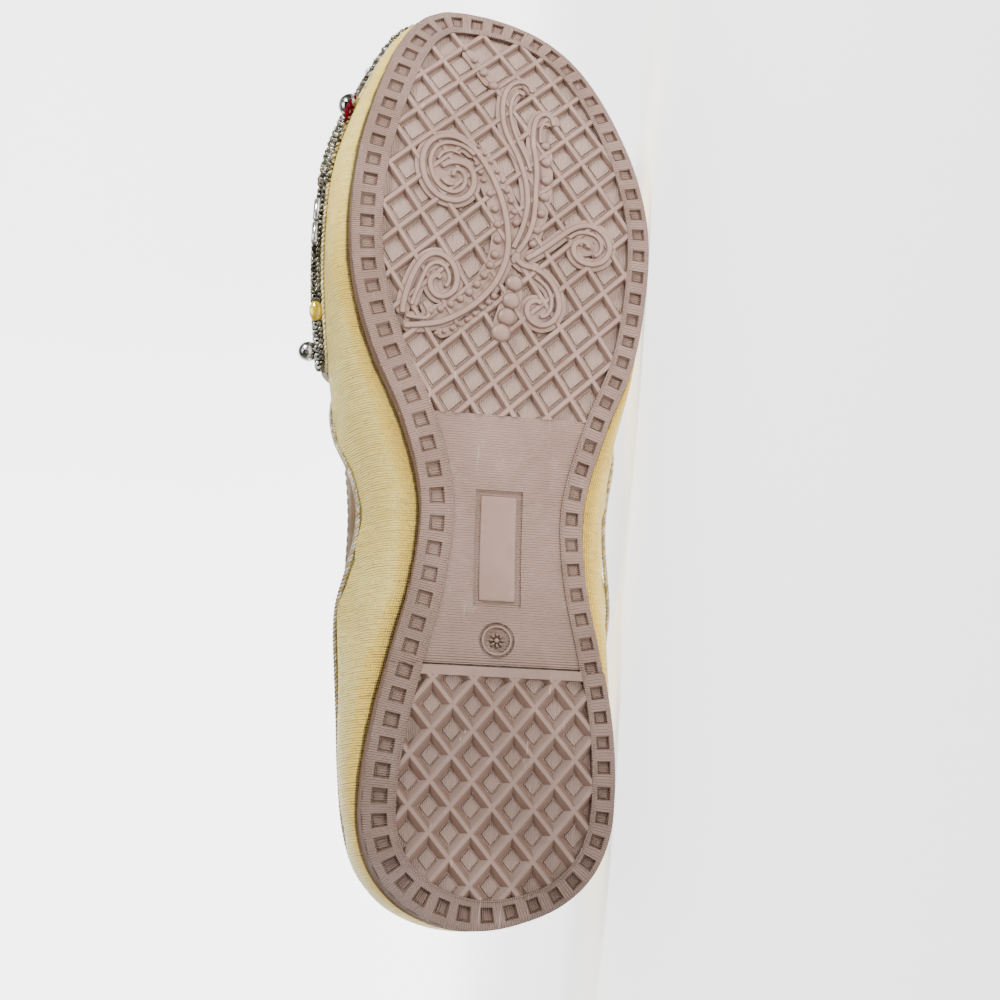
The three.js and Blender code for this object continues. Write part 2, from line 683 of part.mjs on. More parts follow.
function buildFootbed() {
  const rings = [];
  const margin = 2 * CLEARANCE;
  for (let i = 0; i <= STATIONS; i += 1) {
    const round = i / STATIONS;
    const share = alongLength(round);
    const inset = UPPER_WALL + margin;
    const x = inset + (SOLE_LENGTH - 2 * inset) * share;
    const shrink = 1 - margin / HALF_WIDTH;
    const medial = bottomEdge(round, "medial");
    const lateral = bottomEdge(round, "lateral");
    const centre = (medial + lateral) / 2;
    const low = soleTop(x) + CLEARANCE + UPPER_WALL + CLEARANCE;
    const high = low + FOOTBED_THICKNESS;
    const left = centre + (medial - centre) * shrink;
    const right = centre + (lateral - centre) * shrink;
    rings.push([
      new THREE.Vector3(x, left, low),
      new THREE.Vector3(x, left, high),
      new THREE.Vector3(x, right, high),
      new THREE.Vector3(x, right, low),
    ]);
  }
  return loft(rings);
}

// A ball on the outside of the panel, on the medial side.

function ballPlace({ at, height }) {
  const growth = CLEARANCE + PANEL_THICKNESS;
  const ring = upperSection(roundAt(at), growth);
  const medial = ring.slice(1, Math.ceil(ring.length / 2));
  let best = 0;
  const level = INSTEP_HEIGHT * height;
  while (best < medial.length - 2 && medial[best + 1].z < level) best += 1;
  const [a, b] = [medial[best], medial[best + 1]];
  const share = THREE.MathUtils.clamp((level - a.z) / (b.z - a.z), 0, 1);
  const point = a.clone().lerp(b, share);
  const along = upperSection(roundAt(at + 0.01), growth)[best + 1].clone().sub(a);
  const normal = along.cross(b.clone().sub(a)).normalize();
  if (normal.y > 0) normal.negate();
  return point.addScaledVector(normal, BALL_RADIUS + CLEARANCE);
}

const COLOURS = {
  outsole: { color: 0xb5a09a, roughness: 0.72, metalness: 0 },
  upper: { color: 0xd8cc9c, roughness: 0.62, metalness: 0 },
  facing: { color: 0x6f5430, roughness: 0.35, metalness: 0 },
  footbed: { color: 0x8a6a42, roughness: 0.5, metalness: 0 },
  panel: { color: 0xc9c3ae, roughness: 0.5, metalness: 0.3 },
  silver: { color: 0xc8c8cc, roughness: 0.25, metalness: 1 },
};

function part(name, geometry, finish) {
  const mesh = new THREE.Mesh(geometry, new THREE.MeshStandardMaterial({ ...finish }));
  mesh.name = name;
  return mesh;
}

function silverBall(place, index) {
  const geometry = new THREE.IcosahedronGeometry(BALL_RADIUS, 2);
  const ball = part(`silver_ball_${index + 1}`, geometryOf(solidOf(geometry)), COLOURS.silver);
  ball.position.copy(ballPlace(place));
  return ball;
}

const shoe = new THREE.Group();
shoe.add(
  part("outsole", geometryOf(buildOutsole()), COLOURS.outsole),
  part("upper", geometryOf(buildUpper()), COLOURS.upper),
  part("footbed", geometryOf(buildFootbed()), COLOURS.footbed),
  part("collar_facing", geometryOf(buildFacing()), COLOURS.facing),
  part("bead_panel", geometryOf(buildPanel()), COLOURS.panel),
  ...SILVER_BALLS.map(silverBall),
);

// How the shoe lies: the plane that touches the sole's lateral edge at heel and ball, turned about that
// line until it meets the upper.

function pointsOf(mesh) {
  const position = mesh.geometry.getAttribute("position");
  return Array.from({ length: position.count }, (_, i) =>
    new THREE.Vector3().fromBufferAttribute(position, i).add(mesh.position));
}

function furthest(points, direction) {
  return points.reduce((best, point) => (point.dot(direction) > best.dot(direction) ? point : best));
}

function floorOf(group) {
  const [outsole] = group.children;
  const edge = pointsOf(outsole);
  const heel = edge.filter((point) => point.x < SOLE_LENGTH / 2);
  const ball = edge.filter((point) => point.x >= SOLE_LENGTH / 2);
  const side = group.children.slice(1).flatMap(pointsOf);
  const down = new THREE.Vector3(0, 1, 0);
  const forward = new THREE.Vector3(1, 0, 0);
  for (let turn = 0; turn < 12; turn += 1) {
    const from = furthest(heel, down);
    const to = furthest(ball, down);
    forward.copy(to).sub(from).normalize();
    const across = new THREE.Vector3(0, 0, 1).addScaledVector(forward, -forward.z).normalize();
    const level = new THREE.Vector3().crossVectors(across, forward).normalize();
    const angle = Math.max(...side.map((point) => {
      const away = point.clone().sub(from);
      return Math.atan2(away.dot(level), away.dot(across));
    }));
    down.copy(level).multiplyScalar(Math.cos(angle)).addScaledVector(across, -Math.sin(angle));
  }
  return { down, forward };
}

const { down, forward } = floorOf(shoe);
const up = down.clone().negate();
const lengthwise = forward.clone().addScaledVector(up, -forward.dot(up)).normalize();
const sideways = new THREE.Vector3().crossVectors(up, lengthwise);
shoe.quaternion.setFromRotationMatrix(new THREE.Matrix4().makeBasis(lengthwise, sideways, up).transpose());

const lying = new THREE.Group();
lying.add(shoe);
lying.updateMatrixWorld(true);
const box = new THREE.Box3().setFromObject(lying, true);
const middle = box.getCenter(new THREE.Vector3());
shoe.position.set(-middle.x, -middle.y, -box.min.z);

export default lying;
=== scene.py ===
"""A left mojari shoe lying on its side: moulded rubber sole, tissue fabric upper, beaded vamp."""
import math
import random
from itertools import product

import bmesh
import bpy
from mathutils import Matrix, Vector


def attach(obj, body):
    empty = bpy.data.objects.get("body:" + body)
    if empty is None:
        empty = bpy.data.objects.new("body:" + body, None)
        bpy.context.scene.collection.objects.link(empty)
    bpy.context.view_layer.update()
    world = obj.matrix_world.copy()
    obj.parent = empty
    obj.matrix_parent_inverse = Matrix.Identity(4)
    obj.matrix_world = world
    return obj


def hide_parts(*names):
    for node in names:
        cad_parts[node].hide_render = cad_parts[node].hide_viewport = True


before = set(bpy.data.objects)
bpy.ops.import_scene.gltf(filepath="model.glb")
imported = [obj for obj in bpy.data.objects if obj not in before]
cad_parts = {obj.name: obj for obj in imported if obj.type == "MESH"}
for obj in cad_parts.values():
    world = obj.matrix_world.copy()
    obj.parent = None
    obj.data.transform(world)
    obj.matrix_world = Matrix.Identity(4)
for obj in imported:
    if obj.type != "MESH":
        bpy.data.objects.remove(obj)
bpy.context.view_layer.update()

# The shoe's own sizes, in millimetres: X from heel to toe, +Y to the lateral side, +Z up from the tread.

SOLE_LENGTH = 242
BALL_WIDTH = 78
INSTEP_HEIGHT = 46
BACK_HEIGHT = 52
TOE_SPRING = 14
SEAT_THICKNESS = 8.6
SPRING_START = 0.68 * SOLE_LENGTH
UPPER_WALL = 2.2
FACING_WALL = 1.2
FOOTBED_THICKNESS = 2.6
PANEL_THICKNESS = 1.5
CLEARANCE = 0.3
INSIDE_UPPER = -(UPPER_WALL + CLEARANCE)
HALF_WIDTH = BALL_WIDTH / 2

HEEL_BREAST = 0.252 * SOLE_LENGTH
FOREFOOT_START = 0.506 * SOLE_LENGTH
HEEL_STEP = 1.2
ARCH_RISE = 1.6
EDGE_ROUND = 0.6
RIM_MEDIAL = 8
RIM_LATERAL = 5.8
PIT_PITCH = 6.1
PIT_DEPTH = 1.1
PIT_SIZE = 3.9
CELL_LENGTH = 11.9
CELL_WIDTH = 9.9
CELL_DEPTH = 1.5
HEEL_CELL_FLOOR = 0.64
TOE_CELL_FLOOR = 0.84
RIB_WIDTH = 1.3
RIB_CROWN = 0.05
RIB_SHOULDER = 0.24
RIB_ROUND = 0.2
PAD_SHARE = 0.38
BAR_WIDTH = 2.3
SHANK_RECESS = 0.4
GROOVE_DEPTH = 0.6
GROOVE_WIDTH = 1.4
POCKET_DEPTH = SHANK_RECESS + GROOVE_DEPTH
PLATE_LENGTH = 29
PLATE_WIDTH = 11.8
RING_RADIUS = 4.4
RING_WIRE = 0.28
PETALS = 8
PETAL_REACH = 1.35
PLATE_X = 0.374 * SOLE_LENGTH
RING_X = 0.28 * SOLE_LENGTH
SHANK_CENTRE = 0.015 * BALL_WIDTH
HEEL_LATTICE = (0.14 * SOLE_LENGTH, 0.006 * BALL_WIDTH, 0.0)
FOREFOOT_LATTICE = (0.62 * SOLE_LENGTH, 0.013 * BALL_WIDTH, math.radians(7))

LASTING_MARGIN = 11
FACING_DEPTH = 11
TOE_OVERHANG = 2.2
BALL_RADIUS = 2.6
EDGE_SHOWN = 1.5
BACK_LEAN = 5
LEAN_REACH = 0.26 * SOLE_LENGTH
COLLAR_FLARE = 3.6
FLARE_CENTRE = 0.4 * SOLE_LENGTH
FLARE_REACH = 0.12 * SOLE_LENGTH
FLARE_LOW = 0.326 * INSTEP_HEIGHT
FLARE_HIGH = 0.63 * INSTEP_HEIGHT
LEAN_LOW = 0.385 * BACK_HEIGHT
LEAN_HIGH = 1.23 * BACK_HEIGHT
COLLAR_TUCK = 4.4
TUCK_FULL = 0.2 * SOLE_LENGTH
TUCK_END = 0.36 * SOLE_LENGTH
GIRTH_STEPS = 160
MARGIN_STEPS = 4

# How the shoe lies: from its own axes in millimetres to the shared frame in metres.

REST = Matrix.Scale(0.001, 4) @ Matrix((
    (0.997865, 0.065318, 0.000026, -122.297036),
    (-0.008723, 0.132859, 0.991097, -23.401129),
    (0.064733, -0.988980, 0.133145, 27.756883),
    (0, 0, 0, 1),
))

# round: medial and lateral edge, as shares of the ball width.

SOLE_EDGE = {
    0.0: (-0.037, -0.037), 0.05: (-0.155, 0.085), 0.1: (-0.262, 0.222), 0.15: (-0.342, 0.322),
    0.2: (-0.382, 0.376), 0.25: (-0.38, 0.389), 0.3: (-0.352, 0.378), 0.35: (-0.303, 0.342),
    0.4: (-0.25, 0.3), 0.45: (-0.234, 0.29), 0.5: (-0.299, 0.355), 0.55: (-0.408, 0.448),
    0.6: (-0.476, 0.491), 0.65: (-0.491, 0.502), 0.7: (-0.473, 0.47), 0.75: (-0.432, 0.41),
    0.8: (-0.385, 0.34), 0.85: (-0.336, 0.258), 0.9: (-0.28, 0.152), 0.95: (-0.212, 0.016),
    1.0: (-0.136, -0.136),
}

# round: medial, lateral, rise and crown as shares of the instep height, low and high roundness.

UPPER_SECTIONS = {
    0.0: (-0.037, -0.037, 0.239, 1.739, 2.2, 3.2),
    0.05: (-0.168, 0.094, 0.261, 1.761, 2.2, 3.2),
    0.1: (-0.284, 0.238, 0.283, 1.783, 2.2, 3.2),
    0.15: (-0.364, 0.345, 0.304, 1.783, 2.2, 3.2),
    0.2: (-0.41, 0.401, 0.326, 1.783, 2.2, 3.2),
    0.25: (-0.432, 0.422, 0.348, 1.739, 2.2, 3.2),
    0.3: (-0.44, 0.432, 0.391, 1.674, 2.1, 3.0),
    0.35: (-0.432, 0.428, 0.435, 1.565, 2.0, 2.8),
    0.4: (-0.42, 0.418, 0.457, 1.413, 1.9, 2.6),
    0.45: (-0.416, 0.41, 0.457, 1.261, 1.9, 2.4),
    0.5: (-0.462, 0.442, 0.413, 1.13, 2.0, 2.2),
    0.55: (-0.518, 0.49, 0.326, 1.033, 2.0, 2.1),
    0.6: (-0.547, 0.517, 0.283, 0.946, 2.1, 2.1),
    0.65: (-0.551, 0.521, 0.261, 0.848, 2.2, 2.15),
    0.7: (-0.535, 0.497, 0.239, 0.772, 2.2, 2.2),
    0.75: (-0.486, 0.447, 0.217, 0.717, 2.2, 2.25),
    0.8: (-0.426, 0.382, 0.207, 0.696, 2.2, 2.3),
    0.85: (-0.371, 0.302, 0.196, 0.685, 2.2, 2.3),
    0.9: (-0.312, 0.186, 0.185, 0.674, 2.2, 2.3),
    0.95: (-0.229, 0.036, 0.174, 0.652, 2.2, 2.3),
    1.0: (-0.136, -0.136, 0.163, 0.62, 2.2, 2.3),
}

# share of the length: how far the last's flat bottom reaches past the sole, medial and lateral.

FEATHER = {
    0.0: (-0.006, -0.006), 0.2: (0.0, 0.0), 0.33: (0.035, 0.02), 0.44: (0.06, 0.03),
    0.55: (0.02, 0.01), 0.66: (-0.006, -0.006), 1.0: (-0.006, -0.006),
}
SOLE_THICKNESS = {
    0.0: (1.0,), 0.2: (0.953,), 0.34: (0.65,), 0.46: (0.535,), 0.58: (0.558,), 0.8: (0.535,), 1.0: (0.488,),
}

# share of the length: height as a share of the back height and one of the instep height.

FABRIC_TOPLINE = {
    -0.03: (1, 0), 0.04: (0.988, 0), 0.12: (0.5, 0.435), 0.22: (0.2, 0.578), 0.31: (0.05, 0.563),
    0.36: (0, 0.457), 0.415: (0, 0.376), 0.465: (0, 0.424), 0.51: (0, 0.565), 0.555: (0, 0.696),
    0.6: (0, 0.83), 0.63: (0, 0.922), 0.65: (0, 0.978), 0.665: (0, 1.087),
}
FACING_TOPLINE = {
    -0.03: (0.981, 0), 0.04: (0.969, 0), 0.12: (0.5, 0.413), 0.22: (0.2, 0.557), 0.31: (0.05, 0.596),
    0.36: (0, 0.641), 0.415: (0, 0.641), 0.465: (0, 0.648), 0.51: (0, 0.652), 0.555: (0, 0.704),
    0.6: (0, 0.813), 0.625: (0, 0.891), 0.645: (0, 0.957), 0.66: (0, 1.087),
}

# share of the length: lower edge of the beaded panel, medial and lateral, as shares of the instep height.

PANEL_LOWER_EDGE = {
    0.56: (0.783, 0.87), 0.575: (0.543, 0.783), 0.62: (0.424, 0.707), 0.7: (0.391, 0.652),
    0.8: (0.402, 0.598), 0.88: (0.478, 0.587), 0.95: (0.554, 0.598), 1.03: (0.609, 0.609),
}


def read(table, at, column=0):
    """A table's column at a place, on a smooth curve through its rows."""
    keys = list(table)
    if at <= keys[0]:
        return table[keys[0]][column]
    if at >= keys[-1]:
        return table[keys[-1]][column]
    row = 0
    while at > keys[row + 1]:
        row += 1

    def slope(index):
        before = keys[max(0, index - 1)]
        after = keys[min(len(keys) - 1, index + 1)]
        return (table[after][column] - table[before][column]) / (after - before)

    span = keys[row + 1] - keys[row]
    t = (at - keys[row]) / span
    return (
        table[keys[row]][column] * (2 * t**3 - 3 * t**2 + 1)
        + slope(row) * span * (t**3 - 2 * t**2 + t)
        + table[keys[row + 1]][column] * (3 * t**2 - 2 * t**3)
        + slope(row + 1) * span * (t**3 - t**2)
    )


def ease(value, low, high):
    t = min(1.0, max(0.0, (value - low) / (high - low)))
    return t * t * (3 - 2 * t)


def between(a, b, share):
    return a + (b - a) * share


def along_length(round_):
    """Share of the length at a place on the round, which runs finer at heel and toe."""
    return (1 - math.cos(math.pi * round_)) / 2


def round_at(share):
    return math.acos(1 - 2 * min(1.0, max(0.0, share))) / math.pi


MEDIAL, LATERAL = 0, 1


def sole_edge(round_, side):
    return BALL_WIDTH * read(SOLE_EDGE, round_, side)


def tread_line(x):
    past = max(0.0, (x - SPRING_START) / (SOLE_LENGTH - SPRING_START))
    part = (x - HEEL_BREAST) / (FOREFOOT_START - HEEL_BREAST)
    arch = ARCH_RISE * math.sin(math.pi * part) ** 2 if 0 < part < 1 else 0
    return TOE_SPRING * past * past + arch


def sole_top(x):
    past = max(0.0, (x - SPRING_START) / (SOLE_LENGTH - SPRING_START))
    return TOE_SPRING * past * past + SEAT_THICKNESS * read(SOLE_THICKNESS, x / SOLE_LENGTH)


def topline_height(table, share):
    return BACK_HEIGHT * read(table, share, 0) + INSTEP_HEIGHT * read(table, share, 1)


def bottom_edge(round_, side):
    reach = BALL_WIDTH * read(FEATHER, along_length(round_), side)
    ends = min(1.0, 6 * math.sin(math.pi * round_))
    return sole_edge(round_, side) + (-reach if side == MEDIAL else reach) * ends


def on_last(round_, side, turn, growth):
    """A point of the last: turn 0 is the feather edge, 1 the widest line and 2 the crown."""
    medial, lateral, rise, crown, low, high = (read(UPPER_SECTIONS, round_, i) for i in range(6))
    share = along_length(round_)
    flat_x = SOLE_LENGTH * share
    wide_x = -growth + (SOLE_LENGTH + TOE_OVERHANG + 2 * growth) * share
    seat = sole_top(flat_x) + CLEARANCE - min(0.0, growth)
    wide_z = sole_top(flat_x) + CLEARANCE + INSTEP_HEIGHT * rise
    crown_z = INSTEP_HEIGHT * crown + growth
    centre = BALL_WIDTH * (medial + lateral) / 2
    wide_y = centre + (BALL_WIDTH * (lateral if side else medial) - centre) * (1 + growth / HALF_WIDTH)
    if turn <= 1:
        angle = math.pi / 2 * turn
        out = math.sin(angle) ** (2 / low)
        up = 1 - max(0.0, math.cos(angle)) ** (2 / low)
        x, y = between(flat_x, wide_x, out), between(bottom_edge(round_, side), wide_y, out)
        z = between(seat, wide_z, up)
    else:
        angle = math.pi / 2 * (turn - 1)
        out = max(0.0, math.cos(angle)) ** (2 / high)
        up = math.sin(angle) ** (2 / high)
        x, y, z = wide_x, between(centre, wide_y, out), between(wide_z, crown_z, up)
    fade = max(0.0, 1 - x / LEAN_REACH) ** 2
    lean = BACK_LEAN * ease(z, LEAN_LOW, LEAN_HIGH) * fade
    near = math.exp(-(((x - FLARE_CENTRE) / FLARE_REACH) ** 2))
    out = (y - centre) / HALF_WIDTH
    flare = COLLAR_FLARE * near * out * ease(z, FLARE_LOW, FLARE_HIGH)
    tuck = -COLLAR_TUCK * (1 - ease(x, TUCK_FULL, TUCK_END)) * min(0.0, out) * ease(z, FLARE_LOW, BACK_HEIGHT)
    return Vector((x + lean, y + flare + tuck, z))


def girth_line(round_, side, growth, lower, upper, under=0.0):
    """Points up one side of the last between two heights, each a function of the place along the length."""
    points = []
    if under:
        edge = on_last(round_, side, 0, growth)
        centre = (sole_edge(round_, MEDIAL) + sole_edge(round_, LATERAL)) / 2
        reach = min(under, max(0.0, abs(edge.y - centre) - 0.5))
        for i in range(MARGIN_STEPS):
            inward = reach * (1 - i / MARGIN_STEPS)
            points.append(Vector((edge.x, edge.y + (inward if side == MEDIAL else -inward), edge.z)))
    last = None
    for i in range(GIRTH_STEPS + 1):
        point = on_last(round_, side, 2 * i / GIRTH_STEPS, growth)
        share = point.x / SOLE_LENGTH
        if point.z < lower(share):
            last = point
            continue
        if last is not None and not points:
            step = (lower(share) - last.z) / max(1e-6, point.z - last.z)
            points.append(last.lerp(point, max(0.0, min(1.0, step))))
        if point.z > upper(share):
            if points:
                step = (upper(share) - points[-1].z) / max(1e-6, point.z - points[-1].z)
                points.append(points[-1].lerp(point, max(0.0, min(1.0, step))))
            break
        points.append(point)
        last = point
    if not points:
        points = [on_last(round_, side, 2, growth)]
    return points


def spread(points, count):
    """The same line with evenly spaced points."""
    walked = [0.0]
    for a, b in zip(points, points[1:]):
        walked.append(walked[-1] + (b - a).length)
    if walked[-1] < 1e-6:
        return [points[0].copy() for _ in range(count + 1)], 0.0
    even, row = [], 0
    for i in range(count + 1):
        at = walked[-1] * i / count
        while row < len(points) - 2 and walked[row + 1] < at:
            row += 1
        size = max(1e-9, walked[row + 1] - walked[row])
        even.append(points[row].lerp(points[row + 1], min(1.0, (at - walked[row]) / size)))
    return even, walked[-1]


# Work at the bench

def clear():
    bpy.ops.object.select_all(action="DESELECT")


def take(piece):
    clear()
    piece.select_set(True)
    bpy.context.view_layer.objects.active = piece


def named(name):
    piece = bpy.context.object
    piece.name = name
    piece.data.name = name
    return piece


def primitive(name, kind, **settings):
    """One of Blender's own meshes, under a plain name."""
    clear()
    getattr(bpy.ops.mesh, f"primitive_{kind}_add")(**settings)
    return named(name)


def edit(piece, *steps):
    """Runs edit-mode steps on the whole piece."""
    take(piece)
    bpy.ops.object.mode_set(mode="EDIT")
    bpy.ops.mesh.select_all(action="SELECT")
    for step in steps:
        step()
    bpy.ops.object.mode_set(mode="OBJECT")


def edit_faces(piece, wanted, *steps):
    """Runs edit-mode steps on the faces whose centre a test accepts."""
    take(piece)
    bpy.ops.object.mode_set(mode="EDIT")
    bpy.ops.mesh.select_mode(type="FACE")
    bpy.ops.mesh.select_all(action="DESELECT")
    bpy.ops.object.mode_set(mode="OBJECT")
    for face in piece.data.polygons:
        face.select = bool(wanted(face.center))
    bpy.ops.object.mode_set(mode="EDIT")
    for step in steps:
        step()
    bpy.ops.object.mode_set(mode="OBJECT")


def modify(piece, kind, **settings):
    take(piece)
    modifier = piece.modifiers.new(kind.title(), kind)
    for key, value in settings.items():
        setattr(modifier, key, value)
    bpy.ops.object.modifier_apply(modifier=modifier.name)


def join(name, pieces):
    clear()
    for piece in pieces:
        piece.select_set(True)
    bpy.context.view_layer.objects.active = pieces[0]
    if len(pieces) > 1:
        bpy.ops.object.join()
    return named(name)


def weld(distance):
    return lambda: bpy.ops.mesh.remove_doubles(threshold=distance)


def close_ends():
    bpy.ops.mesh.fill_holes(sides=0)


def outward():
    bpy.ops.mesh.normals_make_consistent(inside=False)


def soften_edges(piece, width, segments, degrees=50):
    angle = math.radians(degrees)
    modify(piece, "BEVEL", width=width, segments=segments, limit_method="ANGLE", angle_limit=angle)


def smooth(piece, degrees):
    take(piece)
    bpy.ops.object.shade_smooth_by_angle(angle=math.radians(degrees))


def lie_down(piece):
    piece.data.transform(REST)
    piece.data.update()


def dressed(piece, degrees, *materials):
    """A piece with its materials on and its faces smoothed, laid down with the shoe."""
    for material in materials:
        piece.data.materials.append(material)
    smooth(piece, degrees)
    lie_down(piece)
    return piece


def lay_plan_uv(piece):
    """Gives the piece a UV map that runs in millimetres over its plan."""
    if not piece.data.uv_layers:
        piece.data.uv_layers.new(name="UVMap")
    layer = piece.data.uv_layers[0]
    layer.name = "UVMap"
    for loop in piece.data.loops:
        layer.data[loop.index].uv = piece.data.vertices[loop.vertex_index].co.xy


def sheet(name, columns, rows, place, chart=None):
    """A grid whose points are then set out by place(u, w), both from 0 to 1."""
    piece = primitive(name, "grid", x_subdivisions=columns, y_subdivisions=rows, size=2)
    for vertex in piece.data.vertices:
        vertex.co = place((vertex.co.x + 1) / 2, (vertex.co.y + 1) / 2)
    if chart:
        for loop in piece.data.uv_layers[0].data:
            loop.uv = chart(loop.uv.x, loop.uv.y)
    return piece


def stamped(name, pattern, places):
    """Copies a finished small piece to many places, as one mesh."""
    points = [v.co.copy() for v in pattern.data.vertices]
    faces = [list(p.vertices) for p in pattern.data.polygons]
    flags = [p.use_smooth for p in pattern.data.polygons]
    all_points, all_faces = [], []
    for place in places:
        first = len(all_points)
        all_points += [place @ p for p in points]
        all_faces += [[first + i for i in face] for face in faces]
    mesh = bpy.data.meshes.new(name)
    mesh.from_pydata(all_points, [], all_faces)
    mesh.polygons.foreach_set("use_smooth", flags * len(places))
    piece = bpy.data.objects.new(name, mesh)
    bpy.context.collection.objects.link(piece)
    bpy.data.objects.remove(pattern)
    return piece


def path_length(points):
    return sum((b - a).length for a, b in zip(points, points[1:]))


def line_through(points, steps):
    """A smooth curve through given points."""
    points = [Vector(p) for p in points]
    curve = []
    for i in range(len(points) - 1):
        p0, p1 = points[max(0, i - 1)], points[i]
        p2, p3 = points[i + 1], points[min(len(points) - 1, i + 2)]
        for j in range(steps):
            t = j / steps
            curve.append(0.5 * (2 * p1 + (p2 - p0) * t + (2 * p0 - 5 * p1 + 4 * p2 - p3) * t * t
                                + (3 * p1 - p0 - 3 * p2 + p3) * t**3))
    return curve + [points[-1]]


def frames_along(points, normals=None):
    """Ahead, side and up directions along a line."""
    frames = []
    for i, point in enumerate(points):
        ahead = (points[min(i + 1, len(points) - 1)] - points[max(i - 1, 0)]).normalized()
        up = normals[i] if normals else Vector((0, 0, 1))
        side = up.cross(ahead).normalized()
        frames.append((point, ahead, side, ahead.cross(side).normalized()))
    return frames


def tube(name, points, normals, radius, sides=6):
    """A cord of round section along a line; its UV runs in millimetres along and round."""
    frames = frames_along(points, normals)
    count = len(points) - 1
    length = path_length(points)

    def place(u, w):
        point, _, side, up = frames[round(u * count)]
        angle = math.tau * w
        return point + side * math.cos(angle) * radius + up * math.sin(angle) * radius

    piece = sheet(name, count, sides, place, lambda u, w: (u * length, w * math.tau * radius))
    edit(piece, weld(0.001), outward)
    smooth(piece, 80)
    return piece


def place_of(point, ahead, up, size=(1, 1, 1)):
    """A matrix that sets a small piece at a point, its X ahead and its Z up."""
    ahead = ahead.normalized()
    side = up.cross(ahead).normalized()
    up = ahead.cross(side).normalized()
    turn = Matrix((ahead, side, up)).transposed().to_4x4()
    return Matrix.Translation(point) @ turn @ Matrix.Diagonal((*size, 1))


# Finishes

class Finish:
    """A material in the making: its shader, and the nodes that feed it."""

    def __init__(self, name, colour, roughness, metallic=0.0, **sockets):
        self.material = bpy.data.materials.new(name)
        self.material.use_nodes = True
        self.tree = self.material.node_tree
        self.shader = self.tree.nodes["Principled BSDF"]
        self.set("Base Color", (*colour, 1))
        self.set("Roughness", roughness)
        self.set("Metallic", metallic)
        for key, value in sockets.items():
            self.set(key.replace("_", " "), value)
        place = self.node("TexCoord").outputs
        self.where, self.facing, self.uv = place["Object"], place["Normal"], place["UV"]

    def set(self, socket, value):
        self.shader.inputs[socket].default_value = value

    def feed(self, socket, value):
        self.tree.links.new(value, self.shader.inputs[socket])

    def node(self, kind, feeds=(), **settings):
        node = self.tree.nodes.new("ShaderNode" + kind)
        for key, value in settings.items():
            setattr(node, key, value)
        for socket, feed in dict(feeds).items():
            if isinstance(feed, bpy.types.NodeSocket):
                self.tree.links.new(feed, node.inputs[socket])
            else:
                node.inputs[socket].default_value = feed
        return node

    def reckon(self, operation, a, b=0.0):
        return self.node("Math", {0: a, 1: b}, operation=operation).outputs[0]

    def times(self, a, b):
        return self.reckon("MULTIPLY", a, b)

    def plus(self, a, b):
        return self.reckon("ADD", a, b)

    def minus(self, a, b):
        return self.reckon("SUBTRACT", a, b)

    def waves(self, value, pitch):
        return self.reckon("SINE", self.times(value, math.tau / pitch))

    def parts(self, place):
        return self.node("SeparateXYZ", {0: place}).outputs

    def noise(self, scale, detail=4.0, roughness=0.55, where=None):
        feeds = {"Vector": where or self.where, "Scale": scale, "Detail": detail, "Roughness": roughness}
        return self.node("TexNoise", feeds).outputs["Fac"]

    def steer(self, value, low, high, start=0.0, end=1.0):
        feeds = {"Value": value, "From Min": low, "From Max": high, "To Min": start, "To Max": end}
        return self.node("MapRange", feeds, interpolation_type="SMOOTHSTEP").outputs["Result"]

    def patches(self, scale, detail, low, high, start=0.0, end=1.0):
        return self.steer(self.noise(scale, detail), low, high, start, end)

    def blend(self, factor, a, b, share=1.0):
        """Mixes two colours by a factor, of which only a share is taken."""
        factor = factor if share == 1.0 else self.times(factor, share)
        a, b = (feed if isinstance(feed, bpy.types.NodeSocket) else (*feed, 1) for feed in (a, b))
        return self.node("Mix", {0: factor, 6: a, 7: b}, data_type="RGBA").outputs[2]

    def emboss(self, height, distance, strength):
        bump = self.node("Bump", {"Height": height, "Distance": distance, "Strength": strength})
        self.feed("Normal", bump.outputs[0])


def toned(name, base, shades, grain, spread_=(0.35, 0.65), detail=3.0, **sockets):
    """A finish whose colour wanders between two shades, and the tone that it follows."""
    made = Finish(name, base, **sockets)
    tone = made.patches(grain, detail, *spread_)
    made.feed("Base Color", made.blend(tone, *shades))
    return made, tone


SOLE_OUTWARD = (0.0, -0.9911, -0.1331)


